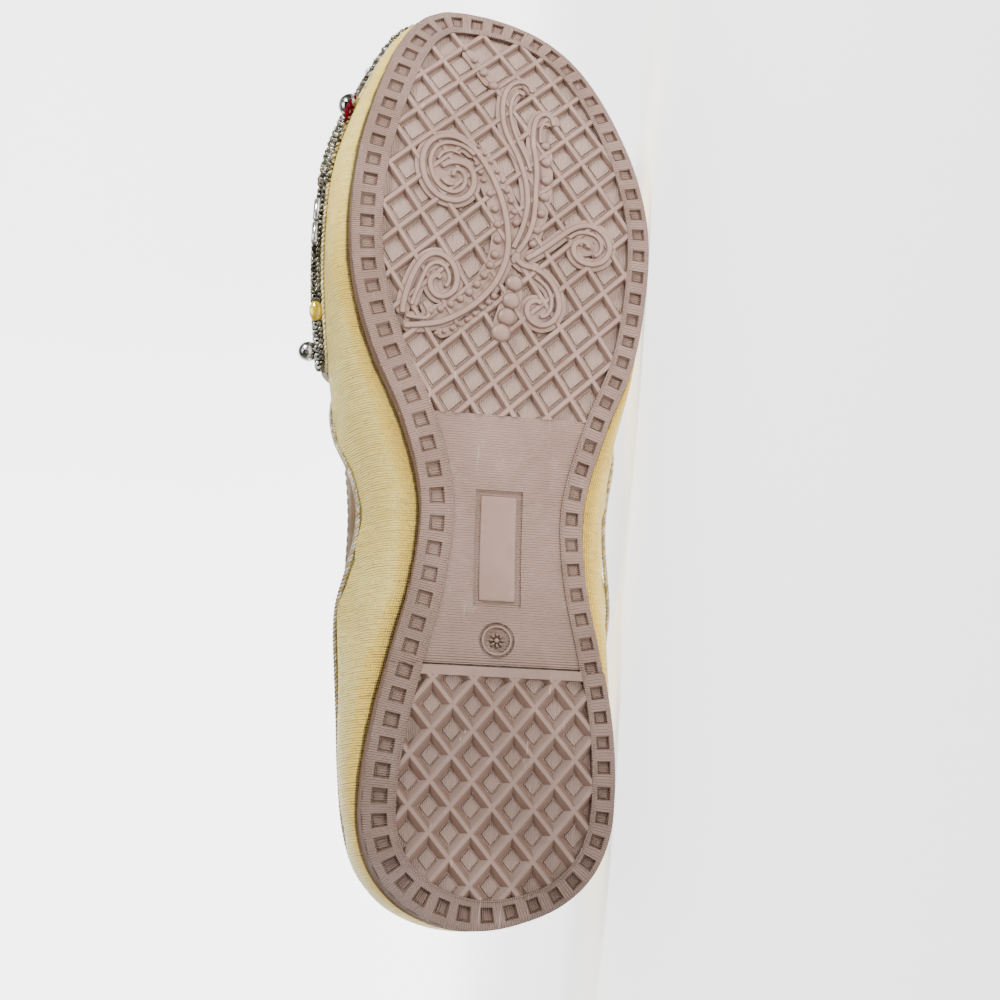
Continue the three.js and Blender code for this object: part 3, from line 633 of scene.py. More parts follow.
def rubber(name, ribs=None, floor=0.0, dim=0.0):
    """Mauve moulded rubber, with painted shade on its sloped walls and, in uneven patches, towards the heel.

    ribs holds the UV part that they run across, their pitch, waver and height; floor lightens, and dim
    darkens with painted shade.
    """
    made = Finish(name, (0.4, 0.25, 0.2), 0.5, Specular_IOR_Level=0.35 - 0.3 * dim)
    colour = made.blend(made.patches(55, 5.0, 0.3, 0.7), (0.275, 0.170, 0.131), (0.34, 0.220, 0.178))
    dust = made.steer(made.noise(160, 6.0, 0.7), 0.5, 0.72)
    colour = made.blend(dust, colour, (0.48, 0.35, 0.29), 0.3)
    if floor:
        colour = made.blend(floor, colour, (0.54, 0.39, 0.32))
    # Painted shade: the rubber turns darker towards the heel, in uneven patches.
    heelward = made.steer(made.parts(made.where)[0], -0.105, 0.0, 1.0, 0.0)
    heel_shade = made.patches(38, 5.0, 0.3, 0.7, 0.5, 0.82)
    colour = made.blend(made.times(heelward, heel_shade), colour, (0.125, 0.082, 0.066))
    # Painted shade: faces that turn away from the sole's outward direction, the walls of pits, cells and
    # ribs, are darkened, more so towards the heel.
    facing_out = made.node("VectorMath", {0: made.facing, 1: SOLE_OUTWARD}, operation="DOT_PRODUCT")
    wall_shade = made.steer(facing_out.outputs["Value"], 0.52, 0.97, 1.0, 0.0)
    depth = made.plus(made.times(heelward, 0.3), 0.66)
    colour = made.blend(made.times(wall_shade, depth), colour, (0.11, 0.062, 0.042))
    # Painted shade: dim darkens the whole piece towards deep brown.
    if dim:
        colour = made.blend(dim, colour, (0.14, 0.085, 0.06))
    # Pale streaks lighten the colour a little.
    stretch = {"Vector": made.where, "Scale": (60.0, 420.0, 900.0), "Rotation": (0.3, 0.2, 0.5)}
    pale_streaks = made.noise(1.0, 2.0, where=made.node("Mapping", stretch).outputs[0])
    colour = made.blend(made.steer(pale_streaks, 0.7, 0.78), colour, (0.70, 0.60, 0.54), 0.3)
    made.feed("Base Color", colour)
    shine = (0.36 - 0.1 * floor + 0.4 * dim, 0.6 - 0.2 * floor + 0.4 * dim)
    made.feed("Roughness", made.patches(240, 4.0, 0.35, 0.7, *shine))
    height = made.times(made.noise(900, 3.0), 0.35)
    if ribs:
        part, pitch, waver, rise = ribs
        along = made.plus(made.parts(made.uv)[part], made.times(made.noise(300, 2.0), waver))
        height = made.plus(height, made.times(made.waves(along, pitch), rise))
    made.emboss(height, 0.00011, 0.9)
    return made.material


# The moulded sole. It is worked flat first: x and y in plan, z the depth into the rubber; then it is bent to
# the tread line.

def outline(count=1600):
    raw = []
    for i in range(count):
        turn = 2 * i / count
        side, along = (LATERAL, turn) if turn <= 1 else (MEDIAL, 2 - turn)
        raw.append(Vector((SOLE_LENGTH * along_length(along), sole_edge(along, side), 0)))
    raw.append(raw[0].copy())
    even, length = spread(raw, count)
    return even[:-1], length


EDGE, EDGE_LENGTH = outline()


def lateral_share(y):
    return ease(y, -HALF_WIDTH * 0.5, HALF_WIDTH * 0.5)


def at_edge(walked):
    """Point, inward direction and rim width at a distance round the sole's edge."""
    count = len(EDGE)
    place = (walked / EDGE_LENGTH * count) % count
    row = int(place)
    point = EDGE[row].lerp(EDGE[(row + 1) % count], place - row)
    ahead = EDGE[(row + 5) % count] - EDGE[(row - 4) % count]
    inward = Vector((ahead.y, -ahead.x, 0)).normalized()
    return point, inward, between(RIM_MEDIAL, RIM_LATERAL, lateral_share(point.y))


INNER = []
for step in range(600):
    spot, inward, width = at_edge(EDGE_LENGTH * step / 600)
    INNER.append(spot + inward * width)


def inner_edge(x, side):
    """Where the rim's inner line crosses a station."""
    found = []
    for a, b in zip(INNER, INNER[1:] + INNER[:1]):
        if (a.x - x) * (b.x - x) <= 0 and abs(b.x - a.x) > 1e-9:
            found.append(between(a.y, b.y, (x - a.x) / (b.x - a.x)))
    return (max(found) if side == LATERAL else min(found)) if found else SHANK_CENTRE


def crossings(origin, ahead, x_low, x_high):
    """The stretches of a line that lie inside the rim's inner line and between two stations."""
    found = []
    for a, b in zip(INNER, INNER[1:] + INNER[:1]):
        da = (a.x - origin.x) * ahead.y - (a.y - origin.y) * ahead.x
        db = (b.x - origin.x) * ahead.y - (b.y - origin.y) * ahead.x
        if (da > 0) != (db > 0):
            hit = a.lerp(b, da / (da - db))
            found.append((hit.x - origin.x) * ahead.x + (hit.y - origin.y) * ahead.y)
    found.sort()
    limits = sorted(((x_low - origin.x) / ahead.x, (x_high - origin.x) / ahead.x))
    pieces = []
    for start, end in zip(found[::2], found[1::2]):
        start, end = max(start - 0.5, limits[0]), min(end + 0.5, limits[1])
        if end > start:
            pieces.append((start, end))
    return pieces


def lattice_bars(lattice, floor, x_low, x_high):
    """Crossing ribs with sloping sides, each clipped to the field inside the rim."""
    centre_x, centre_y, turn = lattice
    pitch = CELL_LENGTH * CELL_WIDTH / math.hypot(CELL_LENGTH, CELL_WIDTH)
    base = pitch - (pitch - RIB_WIDTH) * floor
    top = RIB_WIDTH / 2
    half = [(base / 2, CELL_DEPTH), (top, RIB_SHOULDER), (top - RIB_ROUND, RIB_CROWN)]
    section = [(-out, depth) for out, depth in half] + half[::-1]
    bars = []
    for lean, sunk in ((1, 0.0), (-1, 0.02)):
        ahead = Vector((CELL_LENGTH, lean * CELL_WIDTH, 0)).normalized()
        ahead.rotate(Matrix.Rotation(turn, 3, "Z"))
        across = Vector((-ahead.y, ahead.x, 0))
        for line in range(-24, 24):
            middle = Vector((centre_x, centre_y, 0)) + across * (line + 0.5) * pitch
            for start, end in crossings(middle, ahead, x_low, x_high):
                if end - start < 0.8:
                    continue
                ends = []
                for offset, _ in section:
                    own = [p for p in crossings(middle + across * offset, ahead, x_low, x_high)
                           if p[0] < end and p[1] > start]
                    ends.append(own[0] if own else ((start + end) / 2,) * 2)
                columns = max(1, round((end - start) / 5))

                def place(u, w, middle=middle, across=across, ahead=ahead, ends=ends, sunk=sunk):
                    row = round(w * len(section)) % len(section)
                    offset, depth = section[row]
                    point = middle + across * offset + ahead * between(*ends[row], u)
                    return Vector((point.x, point.y, depth + sunk))

                bars.append(sheet("rib", columns, len(section), place))
    piece = join("lattice", bars)
    edit(piece, weld(0.0005), close_ends, outward)
    return piece


def cell_pads(lattice, floor, x_low, x_high):
    """The small raised square on the floor of each cell."""
    centre_x, centre_y, turn = lattice
    pad = primitive("pad", "cone", vertices=4, radius1=1, radius2=0.86, depth=1, end_fill_type="NGON")
    reach = CELL_LENGTH * floor * PAD_SHARE
    places = []
    for row in range(-22, 23):
        for column in range(-10, 11):
            if (row + column) % 2:
                continue
            step = Vector((row * CELL_LENGTH / 2, column * CELL_WIDTH / 2, 0))
            step.rotate(Matrix.Rotation(turn, 3, "Z"))
            x, y = centre_x + step.x, centre_y + step.y
            if x < x_low + 1 or x > x_high - 1 or x > SOLE_LENGTH - 14:
                continue
            if y < inner_edge(x, MEDIAL) + 1.2 or y > inner_edge(x, LATERAL) - 1.2:
                continue
            spot = Matrix.Translation((x, y, CELL_DEPTH - 0.02)) @ Matrix.Rotation(turn, 4, "Z")
            places.append(spot @ Matrix.Diagonal((reach, reach * CELL_WIDTH / CELL_LENGTH, -0.5, 1)))
    piece = stamped("cell_floors", pad, places)
    edit(piece, outward)
    return piece


def sink_pit():
    bpy.ops.mesh.inset(thickness=0.06)
    for down, shrink in ((0.16, 0.93), (PIT_DEPTH - 0.3, 0.86), (0.0, 0.8), (-0.14, 0.96)):
        bpy.ops.mesh.extrude_region_move(TRANSFORM_OT_translate={"value": (0, 0, down)})
        bpy.ops.transform.resize(value=(shrink, shrink, 1))


def rim():
    """One pit of the rim is modelled, repeated along a straight strip and wrapped round the sole."""
    columns = (0, (PIT_PITCH - PIT_SIZE) / 2, (PIT_PITCH + PIT_SIZE) / 2, PIT_PITCH)
    low, high = (RIM_MEDIAL - PIT_SIZE) / 2, (RIM_MEDIAL + PIT_SIZE) / 2
    rows = ((8, 1.6), (8, 0.1), (7.85, -0.07), (7.45, -0.07), (7.3, 0.05), (high, 0), (low, 0), (0.42, 0),
            (0.12, 0.16), (0, EDGE_ROUND))
    tile = sheet("rim", 3, len(rows) - 1,
                 lambda u, w: Vector((columns[round(u * 3)], *rows[round(w * (len(rows) - 1))])))
    edit_faces(tile, lambda c: columns[1] < c.x < columns[2] and low < c.y < high, sink_pit)
    count = round(EDGE_LENGTH / PIT_PITCH)
    modify(tile, "ARRAY", count=count, use_relative_offset=False, use_constant_offset=True,
           constant_offset_displace=(PIT_PITCH, 0, 0), use_merge_vertices=True, merge_threshold=0.001)
    lay_plan_uv(tile)
    for vertex in tile.data.vertices:
        x, y, z = vertex.co
        number = min(count - 1, int(x / PIT_PITCH))
        local = x - (number + 0.5) * PIT_PITCH
        point, inward, width = at_edge(x / (PIT_PITCH * count) * EDGE_LENGTH)
        share = lateral_share(point.y)
        half = PIT_SIZE / 2
        if abs(local) <= half + 0.01 and low - 0.01 <= y <= high + 0.01:
            local *= between(1, 0.86, share)
            walked = ((number + 0.5) * PIT_PITCH + local) / (PIT_PITCH * count) * EDGE_LENGTH
            point, inward, width = at_edge(walked)
            y = RIM_MEDIAL / 2 + (y - RIM_MEDIAL / 2) * between(1, 1.17, share)
        flat = point + inward * (y / RIM_MEDIAL * width)
        vertex.co = (flat.x, flat.y, z)
    edit(tile, weld(0.004), outward)
    return tile


def side_wall():
    """The sole's side: a rounded lower edge, a moulded line high up and a lip under the upper."""
    rows = ((0, 0.0), (0, 0.3), (0, 0.58), (0.24, 0.63), (0.24, 0.72), (0, 0.77), (0, 0.95), (0.2, 1.0),
            (3.4, 0.99))

    def place(u, w):
        point, inward, _ = at_edge(u * EDGE_LENGTH)
        inset, share = rows[round(w * (len(rows) - 1))]
        flat = point + inward * inset
        thick = sole_top(flat.x) - tread_line(flat.x)
        return Vector((flat.x, flat.y, between(EDGE_ROUND, thick, share)))

    piece = sheet("side_wall", 520, len(rows) - 1, place, lambda u, w: (u * EDGE_LENGTH, w * 9))
    edit(piece, weld(0.001))
    return piece


def core():
    """The body of rubber under the lattice; its lower face is the floor of the cells."""

    def place(u, w):
        share = between(0.004, 0.996, along_length(u))
        x = SOLE_LENGTH * share
        medial = sole_edge(round_at(share), MEDIAL) + 0.4
        lateral = sole_edge(round_at(share), LATERAL) - 0.4
        thick = sole_top(x) - tread_line(x) - 0.08
        ring = ((medial, CELL_DEPTH), (lateral, CELL_DEPTH), (lateral, thick), (medial, thick))
        return Vector((x, *ring[round(w * 4) % 4]))

    piece = sheet("core", 110, 4, place)
    edit(piece, weld(0.001), close_ends, outward)
    return piece


def slab(name, x_low, x_high, depth, columns, rows=10):
    """A flat field from rim to rim, with walls down to the floor of the cells."""

    def place(u, w):
        x = between(x_low, x_high, u)
        return Vector((x, between(inner_edge(x, MEDIAL) - 0.5, inner_edge(x, LATERAL) + 0.5, w), depth))

    piece = sheet(name, columns, rows, place)
    modify(piece, "SOLIDIFY", thickness=CELL_DEPTH + 0.3 - depth, offset=1)
    edit(piece, outward)
    return piece


def shank():
    """The waist's fine-ribbed field, its grooved blank plate and the round pocket with a rosette."""
    field = slab("shank", HEEL_BREAST + 0.7, FOREFOOT_START + 1.4, SHANK_RECESS, 30)
    groove = primitive("groove", "cube", size=1, location=(PLATE_X, SHANK_CENTRE, 0),
                       scale=(PLATE_LENGTH, PLATE_WIDTH, 2 * POCKET_DEPTH))
    pocket = primitive("pocket", "cylinder", vertices=48, radius=RING_RADIUS, depth=2 * POCKET_DEPTH,
                       location=(RING_X, SHANK_CENTRE, 0))
    for cutter in (groove, pocket):
        modify(field, "BOOLEAN", object=cutter, operation="DIFFERENCE", solver="EXACT")
        bpy.data.objects.remove(cutter)
    edit(field, weld(0.0005))

    plate = sheet("plate", 8, 4, lambda u, w: Vector((
        PLATE_X + (u - 0.5) * (PLATE_LENGTH - 2 * GROOVE_WIDTH),
        SHANK_CENTRE + (w - 0.5) * (PLATE_WIDTH - 2 * GROOVE_WIDTH), SHANK_RECESS - 0.02)))
    modify(plate, "SOLIDIFY", thickness=1.0, offset=1)
    edit(plate, outward)
    soften_edges(plate, 0.4, 3, 40)

    ring = primitive("ring", "torus", location=(RING_X, SHANK_CENTRE, SHANK_RECESS + 0.05), major_segments=48,
                     minor_segments=8, major_radius=RING_RADIUS - 0.95, minor_radius=RING_WIRE)
    petals = []
    for i in range(PETALS):
        turn = math.tau * i / PETALS
        x, y = RING_X + PETAL_REACH * math.cos(turn), SHANK_CENTRE + PETAL_REACH * math.sin(turn)
        petals.append((x, y, 0.82, 0.7, 0.42, turn))
    rosette = domes("rosette", [*petals, (RING_X, SHANK_CENTRE, 0.62, 0.8, 0.8, 0)], POCKET_DEPTH)
    return field, [plate, ring, rosette]


def domes(name, spots, floor=0.36):
    """Raised rounded dots; each spot is x, y, height, half length, half width and turn."""
    dome = primitive("dome", "uv_sphere", segments=16, ring_count=10, radius=1)
    edit(dome, lambda: bpy.ops.mesh.bisect(plane_co=(0, 0, 0.02), plane_no=(0, 0, 1), clear_outer=True,
                                           use_fill=True))
    places = []
    for x, y, height, long, wide, turn in spots:
        spot = Matrix.Translation((x, y, floor)) @ Matrix.Rotation(turn, 4, "Z")
        places.append(spot @ Matrix.Diagonal((long, wide, height + floor * 0.5, 1)))
    return stamped(name, dome, places)


# The scrolls raised on the forefoot: lines by points in plan, then dots by x, y and radius.

SCROLLS = {
    "stem": (0.95, [
        (145.2, -24.6), (146.0, -19.0), (147.3, -14.3), (150.3, -9.2), (154.0, -4.9), (158.5, -1.4),
        (163.7, 0.9), (168.1, 1.8), (172.5, 1.8), (177.4, 1.2), (182.3, 0.0), (187.7, -2.0), (192.6, -4.6),
        (196.4, -7.4), (198.7, -10.7), (199.3, -13.9), (198.3, -17.0), (195.8, -19.3), (192.5, -20.4),
        (188.7, -20.4), (185.1, -19.4), (182.1, -17.3), (180.5, -14.4), (180.5, -11.2), (182.2, -8.6),
        (185.2, -7.2), (188.4, -7.3), (190.7, -8.7), (191.6, -11.2), (191.2, -13.6), (189.7, -15.9)]),
    "inner_loop": (0.7, [
        (193.9, -6.6), (196.2, -9.3), (197.0, -11.7), (197.1, -14.3), (195.7, -16.8), (192.7, -18.3),
        (189.4, -18.4), (186.3, -17.5), (183.8, -15.6), (182.7, -13.0), (183.5, -10.7), (185.9, -9.4),
        (188.2, -9.7), (189.4, -11.0), (188.9, -12.3), (186.9, -12.6)]),
    "crescent": (0.5, [(191.6, -16.8), (193.8, -15.4), (194.8, -13.0), (193.9, -10.4)]),
    "eye": (0.45, [(186.6, -15.9), (184.9, -14.2), (184.8, -12.0)]),
    "plume_left": (0.85, [
        (168.2, 3.0), (172.9, 5.0), (177.0, 6.2), (181.7, 6.9), (186.4, 6.7), (190.6, 5.9), (195.2, 4.5),
        (199.5, 2.6), (203.4, 1.2), (207.8, 0.7), (213.5, 1.2), (217.7, 3.1), (219.3, 6.1), (218.0, 8.4),
        (215.6, 8.7)]),
    "plume_inner": (0.6, [
        (190.7, 7.9), (195.2, 6.6), (199.7, 4.7), (204.0, 3.4), (208.5, 2.8), (212.7, 3.3), (215.6, 5.1),
        (214.6, 6.9)]),
    "plume_right": (0.85, [
        (167.0, 4.0), (171.7, 6.8), (176.3, 8.3), (181.0, 8.9), (185.6, 9.1), (190.3, 9.4), (195.2, 9.2),
        (199.6, 8.7), (204.2, 8.9), (207.9, 10.0), (209.4, 12.0), (208.2, 14.0), (205.5, 14.4)]),
    "plume_hook": (0.5, [(199.6, 10.6), (202.4, 10.6), (204.9, 10.9), (206.2, 11.9), (205.4, 12.9)]),
    "leaf": (0.9, [
        (165.7, 6.2), (168.0, 9.5), (171.0, 13.2), (173.9, 16.5), (176.2, 19.9), (176.9, 23.2), (175.7, 26.1),
        (173.1, 28.1), (170.0, 28.4), (167.2, 26.5), (166.2, 23.4), (167.0, 20.5), (169.2, 19.0),
        (171.4, 19.4), (172.4, 21.2), (171.6, 22.9), (170.2, 22.6)]),
    "leaf_inner": (0.6, [
        (172.6, 17.4), (174.5, 20.0), (174.8, 22.8), (173.9, 25.2), (171.7, 26.4), (169.5, 25.8),
        (168.3, 24.0)]),
    "lower": (0.9, [
        (166.6, 3.2), (164.2, 5.8), (163.6, 8.7), (162.0, 11.5), (159.4, 13.8), (156.1, 15.1), (152.8, 15.2),
        (149.7, 13.6), (148.4, 10.8), (149.4, 8.2), (151.8, 7.0), (154.1, 7.6), (154.9, 9.5), (153.9, 11.1)]),
    "lower_inner": (0.6, [
        (161.4, 8.6), (159.9, 10.8), (158.0, 12.5), (155.6, 13.3), (153.0, 13.1), (151.0, 11.8),
        (150.7, 10.0)]),
    "volute": (0.9, [
        (148.0, -24.6), (151.1, -24.4), (155.3, -23.5), (159.9, -21.9), (163.4, -19.8), (165.1, -17.1),
        (164.6, -14.3), (162.4, -12.1), (159.1, -11.1), (155.9, -11.7), (153.9, -13.9), (154.0, -16.2),
        (155.9, -17.7), (158.2, -17.7), (159.3, -16.2), (158.3, -14.8)]),
    "volute_inner": (0.6, [
        (150.4, -22.6), (154.2, -21.4), (158.2, -19.9), (161.2, -18.6), (162.6, -16.6), (162.0, -14.5),
        (159.9, -13.2), (157.6, -13.2), (156.2, -14.4)]),
    "volute_base": (0.6, [(148.0, -24.2), (147.6, -21.7), (147.8, -18.4), (149.8, -18.2), (152.2, -19.6)]),
}
DOTS = {
    "stem_right": [
        (196.8, -5.9, 0.5), (194.8, -4.3, 0.6), (192.6, -2.7, 0.62), (189.9, -1.1, 0.7), (187.3, 0.3, 0.74),
        (184.6, 1.5, 0.78), (181.8, 2.6, 0.82), (178.8, 3.4, 0.9), (175.7, 3.9, 0.98)],
    "stem_left": [
        (191.6, -6.5, 0.7), (189.2, -5.4, 0.74), (187.1, -4.6, 0.78), (183.3, -3.0, 0.98),
        (179.0, -1.7, 1.02), (174.7, -1.0, 1.06), (170.5, -0.9, 1.1), (166.3, -1.5, 1.1),
        (163.3, -2.7, 1.06), (160.5, -4.2, 1.06),
        (157.9, -6.0, 1.06), (155.5, -7.9, 1.02), (153.5, -10.1, 0.98), (151.9, -12.5, 0.98),
        (150.4, -15.1, 0.98), (149.6, -17.6, 0.9)],
    "stem_low": [
        (155.1, -1.5, 0.9), (153.3, -2.9, 0.82), (151.7, -4.5, 0.78), (149.9, -6.3, 0.74), (148.1, -8.3, 0.7),
        (146.7, -10.2, 0.66), (145.5, -12.0, 0.66), (144.5, -14.0, 0.62), (143.8, -16.0, 0.58)],
    "plume": [
        (199.3, 11.9, 1.2), (194.3, 12.0, 1.35), (188.9, 11.9, 1.35), (183.9, 11.4, 1.3), (179.1, 10.5, 1.15),
        (174.2, 9.3, 1.1), (170.2, 8.2, 0.95)],
    "toe_line": [(217.0, -1.6, 1.3), (220.9, -4.1, 1.1), (224.9, -6.4, 0.95), (228.5, -9.0, 0.8)],
    "pearls": [(159.0, 3.6, 2.1), (154.3, 2.9, 2.2), (149.9, 1.8, 2.25), (145.5, 0.4, 2.35)],
}

# Beds that fill the scrolls' eyes: centre, half length and half width.

BEDS = (((188.4, -13.0), 3.0, 5.4), ((170.8, 22.0), 2.4, 3.9), ((152.3, 10.6), 2.2, 3.6),
        ((157.6, -15.6), 2.6, 3.8), ((199.5, 8.4), 3.5, 1.6))

# Sections of a moulded line: across it as a share of its half width, then the depth.

RIDGE = ((-1, 0.7), (-0.94, 0.05), (-0.62, -0.34), (0, -0.44), (0.62, -0.34), (0.94, 0.05), (1, 0.7))
PAD = ((-1, CELL_DEPTH), (-0.93, 0.45), (-0.84, 0.34), (0.84, 0.34), (0.93, 0.45), (1, CELL_DEPTH))
BED = ((-1, CELL_DEPTH), (-0.95, 0.56), (-0.9, 0.5), (0.9, 0.5), (0.95, 0.56), (1, CELL_DEPTH))


def strip(name, points, half, section):
    """A moulded line of one section along a curve, rounded off at both ends."""
    curve = line_through([(x, y, 0) for x, y in points], 5)
    curve, length = spread(curve, max(4, round(path_length(curve) / 0.55)))
    frames = frames_along(curve)
    count = len(curve) - 1

    def place(u, w):
        point, ahead, side, up = frames[round(u * count)]
        short = max(0.0, 1 - min(u, 1 - u) * length / half)
        offset, depth = section[round(w * (len(section) - 1))]
        spot = point + side * offset * half * math.sqrt(max(0.0, 1 - short * short))
        return Vector((spot.x, spot.y, between(depth, 0.3, short**4)))

    return sheet(name, count, len(section) - 1, place)


def scrolls():
    """Each line stands on a wider flat pad that fills the cells beside it."""
    ridges, pads = [], []
    for name, (half, points) in SCROLLS.items():
        ridges.append(strip(name, points, half, RIDGE))
        pads.append(strip(name, points, half + 1.0, PAD))
    for name, dots in DOTS.items():
        reach = max(radius for _, _, radius in dots)
        pads.append(strip(name, [(x, y) for x, y, _ in dots], reach + 0.6, PAD))
    pads.append(strip("junction", [(164.6, 3.4), (167.4, 4.6), (169.6, 6.4)], 2.2, PAD))
    for (x, y), along, reach in BEDS:
        pads.append(strip("bed", [(x - along, y), (x + along, y)], reach, BED))
    spots = []
    for x, y, radius in sum(DOTS.values(), []):
        spots.append((x, y, min(1.4, 0.62 + 0.4 * radius), 1.1 * radius, 1.1 * radius, 0))
    spots.append((166.2, 4.0, 0.6, 2.0, 1.2, math.radians(25)))
    spots.append((171.6, 20.9, 0.5, 0.7, 0.7, 0))
    raised = join("ridges", ridges + [domes("dots", spots)])
    filled = join("pads", pads)
    for piece in (raised, filled):
        edit(piece, weld(0.0005), outward)
    return [raised, filled]


def cross_cut(x):
    bpy.ops.mesh.select_all(action="SELECT")
    bpy.ops.mesh.bisect(plane_co=(x, 0, 0), plane_no=(1, 0, 0))


def sole():
    """All of the sole's fields joined flat, then bent to the tread line with its heel and toe spring."""
    plain = rubber("sole_rubber")
    hatched = rubber("sole_rubber_rim", (0, 0.58, 0.05, 1.7))
    ribbed = rubber("sole_rubber_shank", (0, 0.64, 0.06, 1.2))
    checked = rubber("sole_rubber_cells", (1, 0.42, 0.3, 0.8), floor=0.45)
    # The side wall is darkened with painted shade through dim.
    walled = rubber("sole_rubber_side", dim=0.85)
    heel = (HEEL_LATTICE, HEEL_CELL_FLOOR, 0.0, HEEL_BREAST - BAR_WIDTH + 0.4)
    forefoot = (FOREFOOT_LATTICE, TOE_CELL_FLOOR, FOREFOOT_START + 1.2, SOLE_LENGTH)
    field, trims = shank()
    bar = slab("heel_bar", HEEL_BREAST - BAR_WIDTH, HEEL_BREAST, 0.04, 3)
    groups = (
        (plain, [lattice_bars(*heel), lattice_bars(*forefoot), bar, *trims, *scrolls()]),
        (walled, [side_wall()]),
        (ribbed, [field]),
        (checked, [core(), cell_pads(*heel), cell_pads(*forefoot)]),
    )
    pieces = []
    for material, members in groups:
        for member in members:
            lay_plan_uv(member)
            member.data.materials.clear()
            member.data.materials.append(material)
            pieces.append(member)
    pitted = rim()
    pitted.data.materials.append(hatched)
    piece = join("moulded_sole", [*pieces, pitted])
    cuts = [HEEL_BREAST + 0.02, HEEL_BREAST + 0.12] + [HEEL_BREAST + 4 * i for i in range(1, 16)]
    edit(piece, *[lambda x=x: cross_cut(x) for x in cuts])
    for vertex in piece.data.vertices:
        x, y, depth = vertex.co
        thick = sole_top(x) - tread_line(x)
        if x > HEEL_BREAST + 0.07:
            lift = HEEL_STEP * (1 - ease(x, HEEL_BREAST, FOREFOOT_START))
            depth += lift * (1 - min(1.0, max(0.0, depth / thick)))
        vertex.co.z = tread_line(x) + depth
    return dressed(piece, 40)


# The fabric upper, worked as two halves from the lasted edge to the topline.

def stations(count, fine=(0.60, 0.66, 24)):
    """Rounds from heel to toe, closer together where the collar's front is."""
    start, end, extra = fine
    rounds = [i / count for i in range(count + 1)]
    rounds += [round_at(between(start, end, i / extra)) for i in range(extra + 1)]
    return sorted(set(round(value, 5) for value in rounds))


# Soft creases: x, height along the girth, lean in degrees, half length, half width, and depth,
# where + is a ridge.

CREASES = {
    MEDIAL: [
        (86, 13, 52, 15, 2.6, -0.75), (93, 17, 40, 13, 2.2, 0.55), (99, 12, 62, 12, 2.2, -0.55),
        (76, 15, 35, 13, 2.4, -0.5), (69, 20, 20, 14, 3.0, 0.45), (112, 15, 118, 13, 2.6, -0.6),
        (121, 19, 128, 12, 2.4, 0.45), (129, 14, 112, 12, 2.6, -0.4), (52, 22, 10, 16, 3.4, -0.5),
        (38, 30, 170, 14, 3.6, 0.5), (24, 18, 80, 12, 3.2, -0.45), (14, 30, 95, 12, 3.4, 0.4),
        (146, 12, 150, 16, 3.2, -0.35), (170, 9, 8, 20, 3.0, 0.3), (103, 21, 0, 11, 1.8, -0.5),
    ],
    LATERAL: [
        (88, 14, 48, 14, 2.6, -0.7), (97, 17, 130, 13, 2.4, -0.5), (107, 13, 60, 13, 2.2, 0.5),
        (72, 18, 24, 15, 2.8, -0.5), (118, 17, 118, 14, 2.6, -0.5), (55, 22, 165, 15, 3.2, 0.45),
        (132, 15, 140, 15, 2.8, -0.4), (36, 26, 12, 15, 3.4, -0.45), (20, 24, 85, 12, 3.2, 0.4),
        (165, 12, 172, 20, 3.4, -0.35),
    ],
}
CREASE_REACH = 34


def crease_depth(side, x, girth):
    """How far all creases together move the cloth out, fading to nothing at the sole and the heel."""
    depth = 0.0
    for at, height, lean, long, wide, amount in CREASES[side]:
        dx, dg = x - at, girth - height
        if max(abs(dx), abs(dg)) > CREASE_REACH:
            continue
        angle = math.radians(lean)
        along = dx * math.cos(angle) + dg * math.sin(angle)
        off = -dx * math.sin(angle) + dg * math.cos(angle)
        depth += amount * math.exp(-(along / long) ** 2 - (off / wide) ** 2)
    return depth * ease(girth, -1, 5) * ease(x, 2, 14)


def skin(name, side, growth, lower, upper, rounds, rows, under=0.0):
    """Half of a skin over the last. Its UV runs in millimetres along the shoe and up the girth."""
    lines = []
    for value in rounds:
        points, girth = spread(girth_line(value, side, growth, lower, upper, under), rows)
        lines.append((points, girth))
    count = len(rounds) - 1

    def place(u, w):
        return lines[round(u * count)][0][round(w * rows)]

    piece = sheet(name, count, rows, place)
    layer = piece.data.uv_layers[0]
    for loop in layer.data:
        column, row = round(loop.uv.x * count), round(loop.uv.y * rows)
        points, girth = lines[column]
        loop.uv = (points[row].x, girth * row / rows - under)
    return piece


def crease(piece, side):
    """Moves a half of the cloth along its outward normals by the creases."""
    moves = []
    for vertex in piece.data.vertices:
        moves.append(vertex.normal * (1 if (vertex.normal.y < 0) == (side == MEDIAL) else -1))
    uv_of = {}
    for loop, corner in zip(piece.data.loops, piece.data.uv_layers[0].data):
        uv_of[loop.vertex_index] = corner.uv
    for vertex, move in zip(piece.data.vertices, moves):
        vertex.co += move * crease_depth(side, *uv_of[vertex.index])


def walled(name, halves, thickness, offset=-1, **settings):
    """Two halves joined and given a wall."""
    piece = join(name, halves)
    edit(piece, weld(0.02), outward)
    modify(piece, "SOLIDIFY", thickness=thickness, offset=offset, use_even_offset=True, **settings)
    return piece


def nothing_below(share):
    return -100.0


def fabric_top(share):
    return topline_height(FABRIC_TOPLINE, share)


def mark(piece, name, value):
    """Stores a number on every point of a piece, for its finish to read."""
    layer = piece.data.attributes.new(name, "FLOAT", "POINT")
    layer.data.foreach_set("value", [value(v.co) for v in piece.data.vertices])


def above_sole(point):
    """Height over the sole, counted from a little lower towards the toe."""
    return point.z - sole_top(point.x) + 4 * ease(point.x / SOLE_LENGTH, 0.55, 0.9)


def from_sole(point):
    """How far the cloth has come from the sole's edge: outwards under the last, then up its wall."""
    value = round_at(point.x / SOLE_LENGTH)
    past = max(sole_edge(value, MEDIAL) - point.y, point.y - sole_edge(value, LATERAL), 0.0)
    return math.hypot(min(past, 6.0), max(0.0, point.z - sole_top(point.x) - CLEARANCE))


